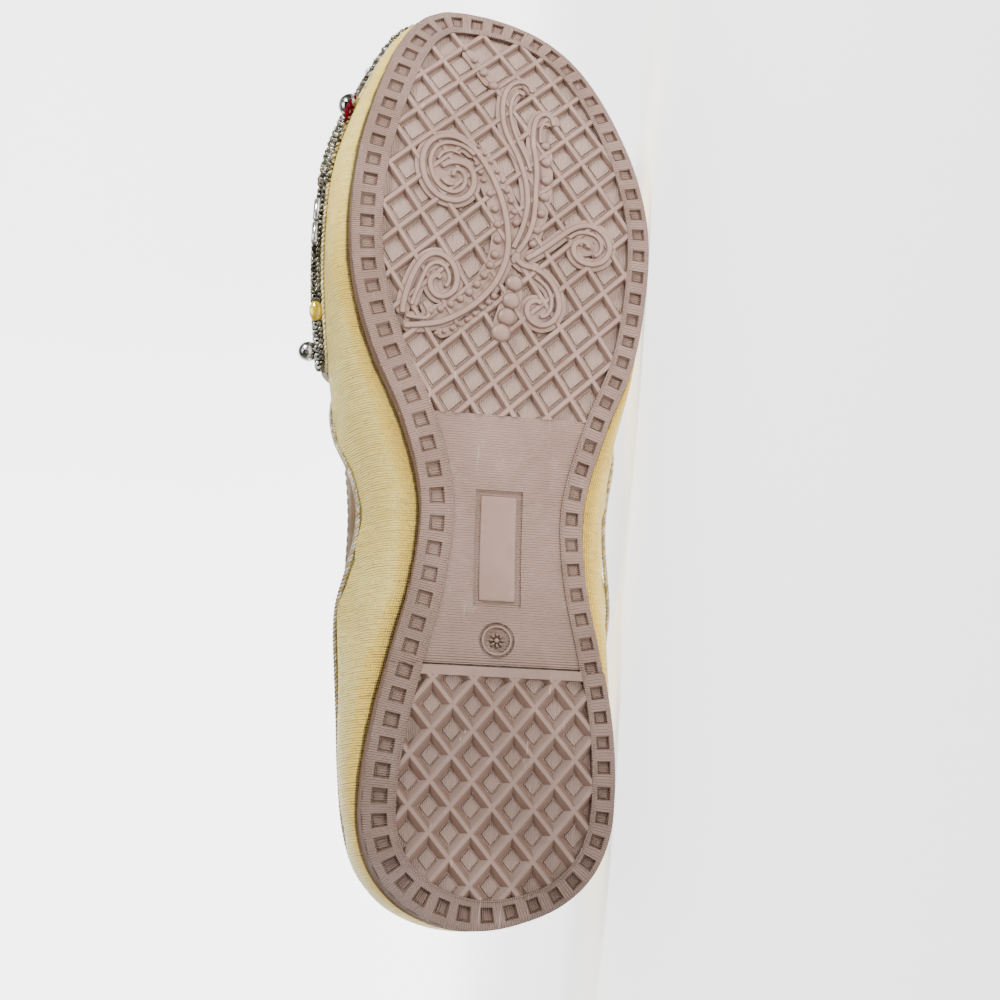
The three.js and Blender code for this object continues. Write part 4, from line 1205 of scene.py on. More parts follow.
def upper():
    """The cloth: creased outside, lined inside, and marked for its stains and shadows."""
    halves = []
    cloths = (tissue_fabric(), inner_cloth())
    for side in (MEDIAL, LATERAL):
        half = skin("upper", side, 0.0, nothing_below, fabric_top, stations(150), 46, LASTING_MARGIN)
        crease(half, side)
        for cloth in cloths:
            half.data.materials.append(cloth)
        halves.append(half)
    piece = walled("fabric_upper", halves, UPPER_WALL - 0.1, material_offset=1)
    mark(piece, "rise", above_sole)
    mark(piece, "from_sole", from_sole)
    mark(piece, "along", lambda p: p.x / SOLE_LENGTH)
    return dressed(piece, 50)


def facing():
    """The leather band inside the collar, its edge rounded."""
    def top(share):
        return topline_height(FACING_TOPLINE, share)

    def low(share):
        return top(share - 0.45 * FACING_DEPTH / SOLE_LENGTH) - FACING_DEPTH

    rounds = [r for r in stations(120) if along_length(r) < 0.7]
    halves = [skin("facing", side, INSIDE_UPPER, low, top, rounds, 9) for side in (MEDIAL, LATERAL)]
    piece = walled("leather_facing", halves, FACING_WALL)
    soften_edges(piece, 0.35, 2)
    return dressed(piece, 40, glossy_leather())


def footbed():
    """The insock: leather over foam, pressed where heel and ball stand."""
    margin = 2 * CLEARANCE
    inset = UPPER_WALL + margin

    def place(u, w):
        x = inset + (SOLE_LENGTH - 2 * inset) * along_length(u)
        medial, lateral = bottom_edge(u, MEDIAL), bottom_edge(u, LATERAL)
        centre, shrink = (medial + lateral) / 2, 1 - margin / HALF_WIDTH
        y = centre + (between(medial, lateral, w) - centre) * shrink
        press = 0.9 * math.exp(-((x - 32) / 24) ** 2 - ((y - 1) / 17) ** 2)
        press += 0.8 * math.exp(-((x - 168) / 28) ** 2 - ((y + 2) / 24) ** 2)
        return Vector((x, y, sole_top(x) + inset + FOOTBED_THICKNESS - press))

    piece = sheet("leather_insock", 110, 24, place, lambda u, w: (u * SOLE_LENGTH, w * 60))
    edit(piece, weld(0.01), outward)
    modify(piece, "SOLIDIFY", thickness=FOOTBED_THICKNESS - 1.0, offset=1)
    edit(piece, outward)
    soften_edges(piece, 0.5, 2)
    return dressed(piece, 40, insock_leather())


# The beaded vamp: a padded embroidered ground, then everything sewn on it.

PANEL_GROWTH = CLEARANCE + PANEL_THICKNESS
PANEL_STEPS = 40
PANEL_ROUNDS = [r for r in stations(130, (0.57, 0.66, 40)) if along_length(r) >= 0.5655]


def panel_low(side):
    return lambda share: INSTEP_HEIGHT * read(PANEL_LOWER_EDGE, share, side)


def panel_top(share):
    return fabric_top(share - EDGE_SHOWN / SOLE_LENGTH) - EDGE_SHOWN / 2


PANEL_LINES = {}
for side in (MEDIAL, LATERAL):
    for value in PANEL_ROUNDS:
        line = girth_line(value, side, PANEL_GROWTH, panel_low(side), panel_top)
        PANEL_LINES[side, value] = spread(line, PANEL_STEPS)[0]


def on_panel(share, side, part):
    """Point, outward and forward directions on the panel: part runs from its lower edge, 0, to its top, 1."""
    value = round_at(share)
    row = 0
    while row < len(PANEL_ROUNDS) - 2 and PANEL_ROUNDS[row + 1] < value:
        row += 1
    a, b = PANEL_ROUNDS[row], PANEL_ROUNDS[row + 1]
    mix = min(1.0, max(0.0, (value - a) / (b - a)))

    def at(part_):
        place = min(PANEL_STEPS - 0.001, max(0.0, part_ * PANEL_STEPS))
        i = int(place)
        return [PANEL_LINES[side, r][i].lerp(PANEL_LINES[side, r][i + 1], place - i) for r in (a, b)]

    low, high = at(part)
    before, after = at(part - 0.03), at(part + 0.03)
    ahead = (high - low).normalized()
    out = ahead.cross(after[0].lerp(after[1], mix) - before[0].lerp(before[1], mix))
    if out.dot(Vector((0, -1 if side == MEDIAL else 1, 0.6))) < 0:
        out.negate()
    return low.lerp(high, mix), out.normalized(), ahead


def at_lower_edge(share, side):
    """Point, outward and forward directions at the panel's lower edge, and the way up from there."""
    point, out, ahead = on_panel(share, side, 0.0)
    return point, out, ahead, (on_panel(share, side, 0.06)[0] - point).normalized()


def bead_panel():
    halves = []
    for side in (MEDIAL, LATERAL):
        halves.append(skin("panel", side, PANEL_GROWTH, panel_low(side), panel_top, PANEL_ROUNDS, 30))
    piece = walled("embroidered_ground", halves, PANEL_THICKNESS, 1)
    soften_edges(piece, 0.5, 3)
    return dressed(piece, 50, embroidered_ground())


def tissue_fabric():
    """Cream tissue cloth with a lurex thread: ribbed at the waist, satin at the toe, stained low down, with
    painted shade higher up its wall and a painted shadow along the sole.
    """
    made = Finish("cream_tissue", (0.6, 0.5, 0.25), 0.45, Sheen_Weight=0.04, Specular_IOR_Level=0.12)
    marks = [made.node("Attribute", attribute_name=name) for name in ("rise", "from_sole", "along")]
    rise, seam, along = (node.outputs["Fac"] for node in marks)
    toe = made.steer(along, 0.6, 0.8)
    drift, wander = made.noise(70), made.noise(420, 3.0)
    across, up, _ = made.parts(made.uv)
    ribs = made.steer(made.waves(made.plus(across, made.times(wander, 0.5)), 0.62), -1, 1)
    threads = made.steer(made.waves(made.plus(up, made.times(wander, 0.4)), 0.5), -1, 1)
    weave = made.plus(made.times(ribs, 0.58), made.times(threads, 0.42))
    drawn_out = made.node("Mapping", {"Vector": made.uv, "Scale": (1.4, 0.12, 1.0)}).outputs[0]
    slub = made.steer(made.noise(1.0, 3.0, where=drawn_out), 0.35, 0.7)
    cloth = made.blend(made.steer(drift, 0.35, 0.65), (0.86, 0.66, 0.16), (0.96, 0.79, 0.23))
    cloth = made.blend(weave, cloth, (0.50, 0.36, 0.10), 0.5)
    cloth = made.blend(slub, cloth, (0.98, 0.84, 0.33), 0.4)
    # Painted shade: the cloth darkens from 14 to 32 mm above the sole.
    cloth = made.blend(made.steer(rise, 14, 32), cloth, (0.42, 0.33, 0.16), 0.3)
    ragged = made.times(made.minus(made.noise(42, 5.0), 0.5), 9.0)
    stain = made.steer(made.plus(seam, ragged), 3.6, 5.4, 1.0, 0.0)
    faded = made.patches(90, 4.0, 0.3, 0.7, 0.55, 0.85)
    cloth = made.blend(made.times(stain, faded), cloth, (0.92, 0.58, 0.07))
    cloth = made.blend(made.steer(made.plus(rise, ragged), 5.0, 11.0, 0.22, 0.0), cloth, (0.80, 0.55, 0.14))
    satin = made.blend(made.steer(drift, 0.3, 0.7), (0.94, 0.66, 0.13), (0.99, 0.80, 0.23))
    satin = made.blend(slub, satin, (0.58, 0.40, 0.10), 0.3)
    colour = made.blend(toe, cloth, satin, 0.85)
    wobble = made.times(made.noise(150, 3.0), 0.8)
    shadow = made.steer(made.minus(seam, wobble), 0.1, 0.75, 0.92, 0.0)
    colour = made.blend(shadow, colour, (0.075, 0.045, 0.018))
    colour = made.blend(made.patches(700, 2.0, 0.64, 0.7), colour, (0.30, 0.21, 0.08), 0.4)
    made.feed("Base Color", colour)
    made.feed("Metallic", made.times(made.patches(900, 2.0, 0.55, 0.7), 0.25))
    made.feed("Roughness", made.steer(weave, 0, 1, 0.52, 0.36))
    height = made.times(made.minus(1.0, weave), made.steer(toe, 0, 1, 1.0, 0.3))
    height = made.plus(height, made.times(wander, 1.2))
    height = made.plus(height, made.times(slub, 0.6))
    made.emboss(height, 0.0004, 1.0)
    return made.material


def inner_cloth():
    """The lining seen inside the vamp and quarters: plain cotton drill."""
    made, _ = toned("lining_cloth", (0.62, 0.54, 0.38), ((0.50, 0.38, 0.2), (0.60, 0.48, 0.28)), 60,
                    (0.3, 0.7), 4.0, roughness=0.85)
    along, up, _ = made.parts(made.uv)
    made.emboss(made.times(made.waves(along, 0.5), made.waves(up, 0.5)), 0.0001, 0.7)
    return made.material


def leather(name, dark, light, roughness, grain):
    made = Finish(name, light, roughness, Specular_IOR_Level=0.25)
    pores = made.node("TexVoronoi", {"Vector": made.where, "Scale": grain}).outputs["Distance"]
    colour = made.blend(made.patches(45, 5.0, 0.3, 0.7), dark, light)
    colour = made.blend(made.steer(pores, 0.0, 0.25, 0.3, 0.0), colour, [c / 2 for c in dark])
    made.feed("Base Color", colour)
    made.feed("Roughness", made.patches(120, 3.0, 0.3, 0.7, roughness - 0.08, roughness + 0.12))
    made.emboss(made.plus(pores, made.noise(500, 3.0)), 0.00012, 0.6)
    return made.material


def glossy_leather():
    return leather("glossy_tan_leather", (0.06, 0.03, 0.008), (0.14, 0.078, 0.022), 0.4, 900)


def insock_leather():
    return leather("insock_leather", (0.36, 0.24, 0.12), (0.47, 0.33, 0.18), 0.45, 700)


def embroidered_ground():
    """Tissue ground closely stitched with tarnished silver thread, dark in the gaps."""
    made = Finish("embroidered_ground", (0.3, 0.27, 0.2), 0.45, 0.4)
    along, up, _ = made.parts(made.uv)
    bent = made.times(made.noise(130, 3.0), 5.0)
    first = made.waves(made.plus(made.plus(along, up), bent), 0.7)
    second = made.waves(made.minus(made.plus(along, bent), up), 0.8)
    stitch = made.times(made.steer(first, -1, 1), made.steer(second, -1, 1))
    tone = made.noise(240)
    colour = made.blend(made.steer(tone, 0.35, 0.65), (0.09, 0.075, 0.045), (0.24, 0.205, 0.13))
    made.feed("Base Color", made.blend(stitch, colour, (0.34, 0.30, 0.22), 0.4))
    made.emboss(made.plus(stitch, made.times(tone, 0.6)), 0.00025, 0.9)
    return made.material


# What is sewn on the vamp. Each kind of bead is made once and set down many times.

def turned(name, profile, sides, degrees):
    """A bead turned from (along, radius) rows, closed from its last row back to its first."""
    count = len(profile)

    def place(u, w):
        along, radius = profile[round(u * count) % count]
        angle = math.tau * w
        return Vector((along, radius * math.cos(angle), radius * math.sin(angle)))

    piece = sheet(name, count, sides, place)
    edit(piece, weld(0.0005), outward)
    smooth(piece, degrees)
    return piece


def mirrored(half):
    """A bead's rows from its middle outwards, repeated for its other end."""
    return [(-along, radius) for along, radius in half[::-1] if along] + half


def seed_bead():
    return turned("seed", mirrored([(0, 1.1), (0.5, 0.96), (0.74, 0.6), (0.6, 0.34)]), 9, 70)


def bugle_bead():
    return turned("bugle", mirrored([(2.7, 1.15), (2.95, 0.95), (2.9, 0.6)]), 10, 45)


def bullion_coil(turns=5, pitch=0.7, radius=0.95):
    """A short length of coiled wire, its turns lying close."""
    half = turns * pitch / 2
    rows = [(-half, 0.3)]
    for i in range(turns):
        start = -half + i * pitch
        rows += [(start + 0.06, radius - 0.2), (start + 0.2, radius), (start + 0.5, radius)]
    rows += [(half, radius - 0.2), (half, 0.3)]
    return turned("bullion", rows, 8, 60)


def stitch():
    return turned("stitch", mirrored([(0, 0.22), (0.7, 0.17), (0.78, 0.05)]), 6, 80)


def pearl(radius=1.35):
    piece = primitive("pearl", "uv_sphere", segments=16, ring_count=10, radius=radius)
    smooth(piece, 80)
    return piece


def sequin(radius=1.35):
    """A thin dished disc."""
    piece = primitive("sequin", "circle", vertices=12, radius=radius, fill_type="NGON")
    edit(piece, lambda: bpy.ops.mesh.inset(thickness=0.45, depth=-0.16),
         lambda: bpy.ops.mesh.inset(thickness=0.5, depth=-0.06))
    modify(piece, "SOLIDIFY", thickness=0.14, offset=-1)
    edit(piece, outward)
    smooth(piece, 30)
    return piece


def cut_stone(radius=1.9):
    """A faceted stone: a table, a crown of facets and a girdle."""
    piece = primitive("stone", "cylinder", vertices=8, radius=radius, depth=radius * 0.9)
    edit(piece, lambda: bpy.ops.mesh.bevel(offset=radius * 0.28, segments=1, affect="EDGES"))
    smooth(piece, 5)
    return piece


def knot_of_thread(radius=1.0):
    piece = primitive("thread", "torus", major_segments=14, minor_segments=7, major_radius=radius,
                      minor_radius=0.34)
    smooth(piece, 80)
    return piece


def round_ball(name, radius):
    """A pressed silver ball with a threading hole sunk in each end."""
    rows = []
    for i in range(15):
        angle = math.radians(between(19, 161, i / 14))
        rows.append((-radius * math.cos(angle), radius * math.sin(angle)))
    rows += [(radius * 0.85, radius * 0.27), (radius * 0.2, radius * 0.24), (radius * 0.2, 0)]
    return turned(name, [(-along, out) for along, out in rows[:-4:-1]] + rows, 28, 60)


# Rows sewn along the panel on both its sides. Each holds its kind of bead, millimetres up from the lower
# edge, start and end as shares of the length, pitch, spin and wobble; with None it is set down by rule.

BEAD_LIFT = 0.55
PEARL_LIFT = 1.0
SPIN_CHANCE = 0.2
WALK_STEP = 0.0008
PANEL_ROWS = (
    ("seeds", 0.9, 0.578, 0.635, 1.9, math.pi / 2, 0.2), ("dark", 0.9, 0.645, 0.708, 1.4, math.pi / 2, 0.3),
    ("seeds", 0.9, 0.872, 0.995, 1.7, math.pi / 2, None), ("dark", 2.6, 0.578, 0.70, 1.3, 0.3, 0.25),
    ("seeds", 4.2, 0.578, 0.70, 1.7, 0.8, 0.3), ("bugles", 1.0, 0.716, 0.764, 6.4, 0.0, None),
    ("dark", 2.9, 0.712, 0.768, 1.25, 0.6, 0.2), ("bugles", 4.8, 0.720, 0.77, 6.4, 0.0, None),
    ("coils", 1.1, 0.774, 0.866, 1.9, 1.1, 0.3), ("coils", 3.2, 0.774, 0.872, 2.0, -0.8, 0.3),
    ("coils", 5.4, 0.78, 0.90, 2.3, 0.7, 0.3), ("seeds", 2.7, 0.89, 0.995, 1.5, 0.2, 0.25),
    ("pearls", 1.0, 0.925, 0.932, 3.0, 0.0, None), ("sequins", 5.4, 0.905, 0.985, 2.6, 0.0, 0.2),
)
RIM_ROWS = (
    ("dark", 1.0, 0.578, 0.618, 1.35, 0.4, 0.2), ("dark", 1.0, 0.64, 0.71, 1.25, 1.1, 0.3),
    ("dark", 0.7, 0.713, 0.768, 1.5, 0.0, 0.1), ("coils", 1.1, 0.775, 0.862, 1.8, 1.0, 0.3),
    ("seeds", 0.9, 0.776, 0.86, 3.1, 0.5, 0.2), ("dark", 1.2, 0.876, 0.995, 1.5, 0.7, 0.3),
    ("seeds", 1.0, 0.88, 0.995, 3.3, 1.3, 0.2),
)

# Flowers: share of the length, side, and how far up the panel. Each is a stone in a ring of seeds and coils.

FLOWERS = (
    (0.685, MEDIAL, 0.46), (0.685, LATERAL, 0.46), (0.78, MEDIAL, 0.985), (0.83, MEDIAL, 0.55),
    (0.83, LATERAL, 0.55), (0.69, MEDIAL, 0.99), (0.905, MEDIAL, 0.9), (0.745, MEDIAL, 0.72),
    (0.745, LATERAL, 0.72),
)
FLOWER_REACH = 6.2
RINGS = (("coils", 8, 0.0, 4.0, 0.35, 1.0), ("dark", 12, 0.5, 2.5, 0.5, 0.8))

# What fills the ground between them: the kinds by chance, then how close they may lie.

FILL_TRIES = 14000
FILL = (("coils", 0.42), ("seeds", 0.66), ("dark", 0.84), ("sequins", 1.0))
COIL_GAP, SMALL_GAP, ROW_GAP = 1.05, 0.62, 0.55
GRID = 2.2
GIRTHS = {}


def girth_at(share, side):
    """Length of the panel from its lower edge to its top, read at every 200th of the shoe's length."""
    key = (round(share * 200), side)
    if key not in GIRTHS:
        GIRTHS[key] = path_length([on_panel(key[0] / 200, side, i / 8)[0] for i in range(9)])
    return GIRTHS[key]


def row_place(share, side, up_mm, spin=0.0, lift=BEAD_LIFT):
    """Sets a bead down at a share of the length, millimetres up from the panel's lower edge."""
    part = min(1.0, up_mm / max(1.0, girth_at(share, side)))
    point, out, ahead = on_panel(share, side, part)
    return place_of(point + out * lift, Matrix.Rotation(spin, 3, out) @ ahead, out)


def rim_place(share, side, up_mm, spin=0.0, size=(1, 1, 1)):
    """Sets a bead on the panel's cut edge, facing down; up_mm counts outwards across that edge."""
    point, out, ahead, up = at_lower_edge(share, side)
    down = (out * 0.35 - up).normalized()
    spot = point + out * (up_mm - PANEL_THICKNESS) - up * 0.15
    return place_of(spot, Matrix.Rotation(spin, 3, down) @ ahead, down, size)


def row(side, up_mm, start, end, pitch, spin, wobble, chance, setting):
    """Places along one row, a pitch apart in millimetres."""
    places = []
    share = start
    while share < end:
        rise = up_mm if wobble is None else up_mm + chance.uniform(-wobble, wobble)
        turn = spin if wobble is None else spin + chance.uniform(-SPIN_CHANCE, SPIN_CHANCE)
        place = setting(share, side, rise, turn)
        if not places or (place.translation - places[-1].translation).length >= pitch:
            places.append(place)
        share += WALK_STEP
    return places


def pearl_place(share, side, up_mm, spin):
    return row_place(share, side, up_mm, spin, PEARL_LIFT)


def sewn_beads():
    """Fills the panel: border rows as listed, flowers on the vamp, then coils and seeds between them."""
    chance = random.Random(7)
    beads = {kind: [] for kind in ("seeds", "coils", "bugles", "pearls", "sequins", "dark")}
    stones = []
    for side in (MEDIAL, LATERAL):
        for kind, *form in PANEL_ROWS:
            beads[kind] += row(side, *form, chance, pearl_place if kind == "pearls" else row_place)
        stones.append(rim_place(0.629, side, 1.9, size=(1.5, 1, 1)))
        for kind, *form in RIM_ROWS:
            beads[kind] += row(side, *form, chance, rim_place)
    centres = []
    for share, side, part in FLOWERS:
        centre, out, ahead = on_panel(share, side, part)
        across = out.cross(ahead)
        stones.append(place_of(centre + out * 1.1, ahead, out))
        centres.append(centre)
        for kind, count, first, reach, lift, size in RINGS:
            for i in range(count):
                angle = math.tau * (i + first) / count
                way = ahead * math.cos(angle) + across * math.sin(angle)
                beads[kind].append(place_of(centre + way * reach + out * lift, way, out, (size,) * 3))
    near = {}

    def cell(point):
        return tuple(math.floor(c / GRID) for c in point)

    def take_room(point, reach):
        near.setdefault(cell(point), []).append((point, reach))

    def crowded(point, gap):
        if any((centre - point).length < FLOWER_REACH for centre in centres):
            return True
        home = cell(point)
        for dx, dy, dz in product((-1, 0, 1), repeat=3):
            for other, reach in near.get((home[0] + dx, home[1] + dy, home[2] + dz), ()):
                if (other - point).length < gap + reach:
                    return True
        return False

    for places in beads.values():
        for place in places:
            take_room(place.translation, ROW_GAP)
    for _ in range(FILL_TRIES):
        share = chance.uniform(0.583, 0.99)
        side, part = chance.choice((MEDIAL, LATERAL)), chance.uniform(0.03, 1)
        point, out, ahead = on_panel(share, side, part)
        draw = chance.random()
        kind = next(name for name, below in FILL if draw < below)
        gap = COIL_GAP if kind == "coils" else SMALL_GAP
        if crowded(point, gap):
            continue
        take_room(point, gap * 0.9)
        turn = Matrix.Rotation(chance.uniform(0, math.tau), 3, out)
        lift = 0.2 if kind == "sequins" else BEAD_LIFT - 0.1
        beads[kind].append(place_of(point + out * lift, turn @ ahead, out))
    return {
        "silver_seeds": (seed_bead(), beads["seeds"], bright_silver()),
        "dark_seeds": (seed_bead(), beads["dark"], old_silver()),
        "bullion_coils": (bullion_coil(), beads["coils"], old_silver()),
        "bugle_beads": (bugle_bead(), beads["bugles"], silver_glass()),
        "green_pearls": (pearl(), beads["pearls"], green_pearl()),
        "sequins": (sequin(), beads["sequins"], sequin_foil()),
        "yellow_stones": (cut_stone(), stones, yellow_glass()),
        "red_threads": (knot_of_thread(), red_knots(), red_thread()),
    }


# The two round balls: share of the length, level as a share of the instep height, size, and how far the ball
# hangs from its place on the panel.

BALLS = ((0.873, 0.533, 1.22, (-0.2, 1.3, -3.4)), (0.594, 0.533, 1.0, (0, 0, 0)))


def silver_balls():
    pieces = []
    for number, (share, height, size, shift) in enumerate(BALLS, 1):
        ball = round_ball(f"pressed_ball_{number}", BALL_RADIUS * size)
        ball.data.transform(Matrix.Translation(shift) @ ball_place(share, INSTEP_HEIGHT * height))
        lie_down(ball)
        ball.data.materials.append(bright_silver())
        pieces.append(ball)
    return pieces


def ball_place(share, level):
    """Where a ball sits on the panel: its hole looks down past the sole and a little heelward."""
    def on_girth(at, step):
        return on_last(round_at(at), MEDIAL, 2 * step / 80, PANEL_GROWTH)

    step = 0
    while step < 78 and on_girth(share, step + 1).z < level:
        step += 1
    a, b = on_girth(share, step), on_girth(share, step + 1)
    point = a.lerp(b, (level - a.z) / (b.z - a.z))
    out = (on_girth(share + 0.01, step + 1) - a).cross(b - a).normalized()
    if out.y > 0:
        out.negate()
    return place_of(point + out * (BALL_RADIUS + CLEARANCE), Vector((-0.46, -0.33, -0.9)), out)


def kept_up(point, room_):
    """Moves a point of a cord up until the cord clears the floor."""
    lying = REST @ point
    if lying.z >= room_ * 0.001:
        return point
    lying.z = room_ * 0.001
    return REST.inverted() @ lying


def topline_path(table, growth, drop):
    """Once round the collar: points a little under an edge of the topline, and the way out there."""
    def top(share):
        return topline_height(table, share) - drop

    runs = []
    for side in (MEDIAL, LATERAL):
        run = []
        for value in stations(170):
            line = girth_line(value, side, growth, nothing_below, top)
            if on_last(value, side, 2, growth).z < line[-1].z + 0.4:
                break
            run.append((line[-1], (line[-1] - line[-3]).normalized(), Vector((0, 1 if side else -1, 0.3))))
        runs.append(run)
    loop = runs[MEDIAL] + runs[LATERAL][::-1]
    points, normals = [], []
    for i, (point, up, wanted) in enumerate(loop):
        ahead = loop[min(i + 1, len(loop) - 1)][0] - loop[max(i - 1, 0)][0]
        out = ahead.cross(up).normalized()
        if out.dot(wanted) < -0.05:
            out.negate()
        points.append(point)
        normals.append(out)
    return points, normals


def even_path(points, normals, step):
    """The same path with evenly spaced points."""
    length = path_length(points)
    count = max(2, int(length / step))
    new_points, new_normals = [], []
    walked, row_ = 0.0, 0
    for i in range(count + 1):
        goal = length * i / count
        while row_ < len(points) - 2 and walked + (points[row_ + 1] - points[row_]).length < goal:
            walked += (points[row_ + 1] - points[row_]).length
            row_ += 1
        stretch = (points[row_ + 1] - points[row_]).length
        mix = min(1.0, max(0.0, (goal - walked) / max(1e-6, stretch)))
        new_points.append(points[row_].lerp(points[row_ + 1], mix))
        new_normals.append(normals[row_].lerp(normals[row_ + 1], mix).normalized())
    return new_points, new_normals


def plaited(name, points, normals, strands, lift, swing, pitch, radius):
    """A cord of strands, each a material, that wind round a path at a small swing."""
    parts = []
    frames = frames_along(points, normals)
    for number, material in enumerate(strands):
        phase = math.tau * number / len(strands)
        walked, wound = 0.0, []
        for i, (point, _, side, up) in enumerate(frames):
            if i:
                walked += (points[i] - points[i - 1]).length
            angle = math.tau * walked / pitch + phase
            place = point + up * (lift + swing * math.sin(angle)) + side * swing * 1.3 * math.cos(angle)
            wound.append(kept_up(place, radius + 0.02))
        part = tube("strand", wound, normals, radius)
        part.data.materials.append(material)
        lie_down(part)
        parts.append(part)
    return join(name, parts)


def topline_braid():
    """Silver and gold strands plaited along the fabric's topline."""
    points, normals = even_path(*topline_path(FABRIC_TOPLINE, 0.0, 0.5), 0.45)
    silver = braid_metal("braid_silver", (0.62, 0.58, 0.5))
    gold = braid_metal("braid_gold", (0.62, 0.44, 0.18))
    return plaited("topline_braid", points, normals, (silver, gold, silver), 0.42, 0.34, 3.3, 0.3)


def edge_cord():
    """Pale gold rope along the beaded panel's lower edge, from waist to waist round the toe."""
    points, normals = [], []
    shares = [between(0.568, 1.0, i / 90) for i in range(91)]
    for side, order in ((MEDIAL, shares), (LATERAL, shares[::-1])):
        for share in order:
            point, out, _, up = at_lower_edge(share, side)
            points.append(point - out * 1.45 - up * 0.5)
            normals.append(out)
    points, normals = even_path(points, normals, 0.5)
    strands = (braid_metal("cord_pale", (0.80, 0.66, 0.36)), braid_metal("cord_gold", (0.90, 0.82, 0.58)))
    return plaited("panel_edge_cord", points, normals, strands, 0.0, 0.26, 2.6, 0.4)


# Windings of the red thread by the first ball: share of the length, drop under the edge, lean and size.

WINDINGS = ((0.864, 2.2, 0.2, 1.5), (0.873, 2.5, 1.1, 1.3), (0.859, 2.6, 0.7, 1.1), (0.880, 1.8, 1.9, 1.1),
            (0.867, 3.2, 2.5, 0.9), (0.855, 1.9, 2.9, 1.0))


def red_knots():
    """Red thread that ties the first ball down, wound on the cloth beside it."""
    knots = []
    for share, drop, lean, size in WINDINGS:
        point, out, ahead, up = at_lower_edge(share, MEDIAL)
        turn = Matrix.Rotation(lean, 3, out)
        spot = point - up * drop - out * 1.2
        knots.append(place_of(spot, turn @ ahead, out + 0.5 * (turn @ up), (size, 0.7 * size, 1)))
    return knots


def facing_stitches(pitch=2.5):
    """A row of stitches along the leather edge that stands above the fabric."""
    points, normals = even_path(*topline_path(FACING_TOPLINE, INSIDE_UPPER, 1.5), pitch)
    places = []
    for before, point, after, out in zip(points, points[1:], points[2:], normals[1:]):
        if (after - before).length > 1e-4:
            places.append(place_of(kept_up(point + out * 0.06, 0.3), after - before, out))
    piece = stamped("facing_stitches", stitch(), places)
    piece.data.materials.append(waxed_thread())
    lie_down(piece)
    return piece


# Finishes of the sewn-on pieces

def metal(name, dark, light, roughness, grain, depth, metallic=1.0):
    made, _ = toned(name, light, (dark, light), grain, (0.35, 0.68), 4.0, roughness=roughness,
                    metallic=metallic)
    made.feed("Roughness", made.patches(grain * 3, 3.0, 0.3, 0.7, roughness - 0.06, roughness + 0.16))
    made.emboss(made.noise(grain * 8, 3.0), depth, 0.5)
    return made.material


def bright_silver():
    return metal("bright_silver", (0.12, 0.11, 0.09), (0.66, 0.65, 0.61), 0.17, 420, 0.00006)


def old_silver():
    return metal("old_silver", (0.03, 0.027, 0.018), (0.27, 0.25, 0.19), 0.22, 500, 0.0001)


def braid_metal(name, colour):
    return metal(name, [c / 2 for c in colour], colour, 0.35, 600, 0.0001, 0.5)


def sequin_foil():
    return metal("sequin_foil", (0.48, 0.40, 0.26), (0.84, 0.78, 0.62), 0.18, 260, 0.00005)


def silver_glass():
    """Silver-lined glass tube: bright core lines seen through a clear coat."""
    made, _ = toned("silver_lined_glass", (0.78, 0.78, 0.74), ((0.34, 0.33, 0.29), (0.88, 0.88, 0.84)), 380,
                    (0.4, 0.62), roughness=0.16, metallic=0.75, Coat_Weight=0.8, Coat_Roughness=0.04)
    made.emboss(made.noise(900, 2.0), 0.00005, 0.4)
    return made.material


def green_pearl():
    made, _ = toned("green_white_pearl", (0.66, 0.72, 0.6), ((0.52, 0.62, 0.48), (0.78, 0.82, 0.72)), 300,
                    roughness=0.22, metallic=0.1, Coat_Weight=0.6, Coat_Roughness=0.08, Sheen_Weight=0.2)
    return made.material


def yellow_glass():
    made, _ = toned("yellow_cut_glass", (0.7, 0.5, 0.01), ((0.46, 0.29, 0.0), (0.86, 0.66, 0.02)), 500,
                    (0.3, 0.7), 2.0, roughness=0.08, metallic=0.15, Coat_Weight=0.9, Coat_Roughness=0.03,
                    Transmission_Weight=0.1, IOR=1.55)
    return made.material


def red_thread():
    made, ply = toned("red_thread", (0.2, 0.004, 0.02), ((0.045, 0.0, 0.005), (0.2, 0.003, 0.02)), 1500,
                      roughness=0.9, Specular_IOR_Level=0.1)
    made.emboss(ply, 0.0001, 0.8)
    return made.material


def waxed_thread():
    made, ply = toned("waxed_thread", (0.45, 0.33, 0.16), ((0.30, 0.2, 0.08), (0.62, 0.5, 0.28)), 1400,
                      roughness=0.5)
    made.emboss(ply, 0.00008, 0.7)
    return made.material


# The room: a pale floor that sweeps up behind and glows with painted light, soft lights, and the camera at
# the photograph's angle.

SWEEP_START, SWEEP_RADIUS, SWEEP_TURN = 0.9, 0.8, 1.3
ROOM_SIDE, ROOM_FRONT, ROOM_BACK = 4, -3, 6
CAMERA_SWING, CAMERA_TILT, CAMERA_ROLL = math.radians(15), math.radians(11), math.radians(1.08)
CAMERA_AIM = Vector((102.2, 1.0, 0))
CAMERA_DISTANCE = 415
CAMERA_LENS = 61.2

# Lights: place, aim, size and power.

LIGHTS = {
    "key": ((0.42, -0.42, 0.52), (0.03, 0, 0.04), 0.16, 7.5),
    "fill": ((-0.5, -0.9, 0.3), (0, 0, 0.04), 0.8, 1.2),
    "top": ((-0.05, -0.32, 0.9), (-0.05, -0.3, 0), 0.5, 4.5),
}


def sweep_rise(y):
    """The paper lies flat round the shoe and curves up well behind it."""
    if y < SWEEP_START:
        return y, 0.0
    turn = min(SWEEP_TURN, (y - SWEEP_START) / SWEEP_RADIUS)
    beyond = y - SWEEP_START - turn * SWEEP_RADIUS
    return (SWEEP_START + SWEEP_RADIUS * math.sin(turn) + beyond * math.cos(turn),
            SWEEP_RADIUS * (1 - math.cos(turn)) + beyond * math.sin(turn))


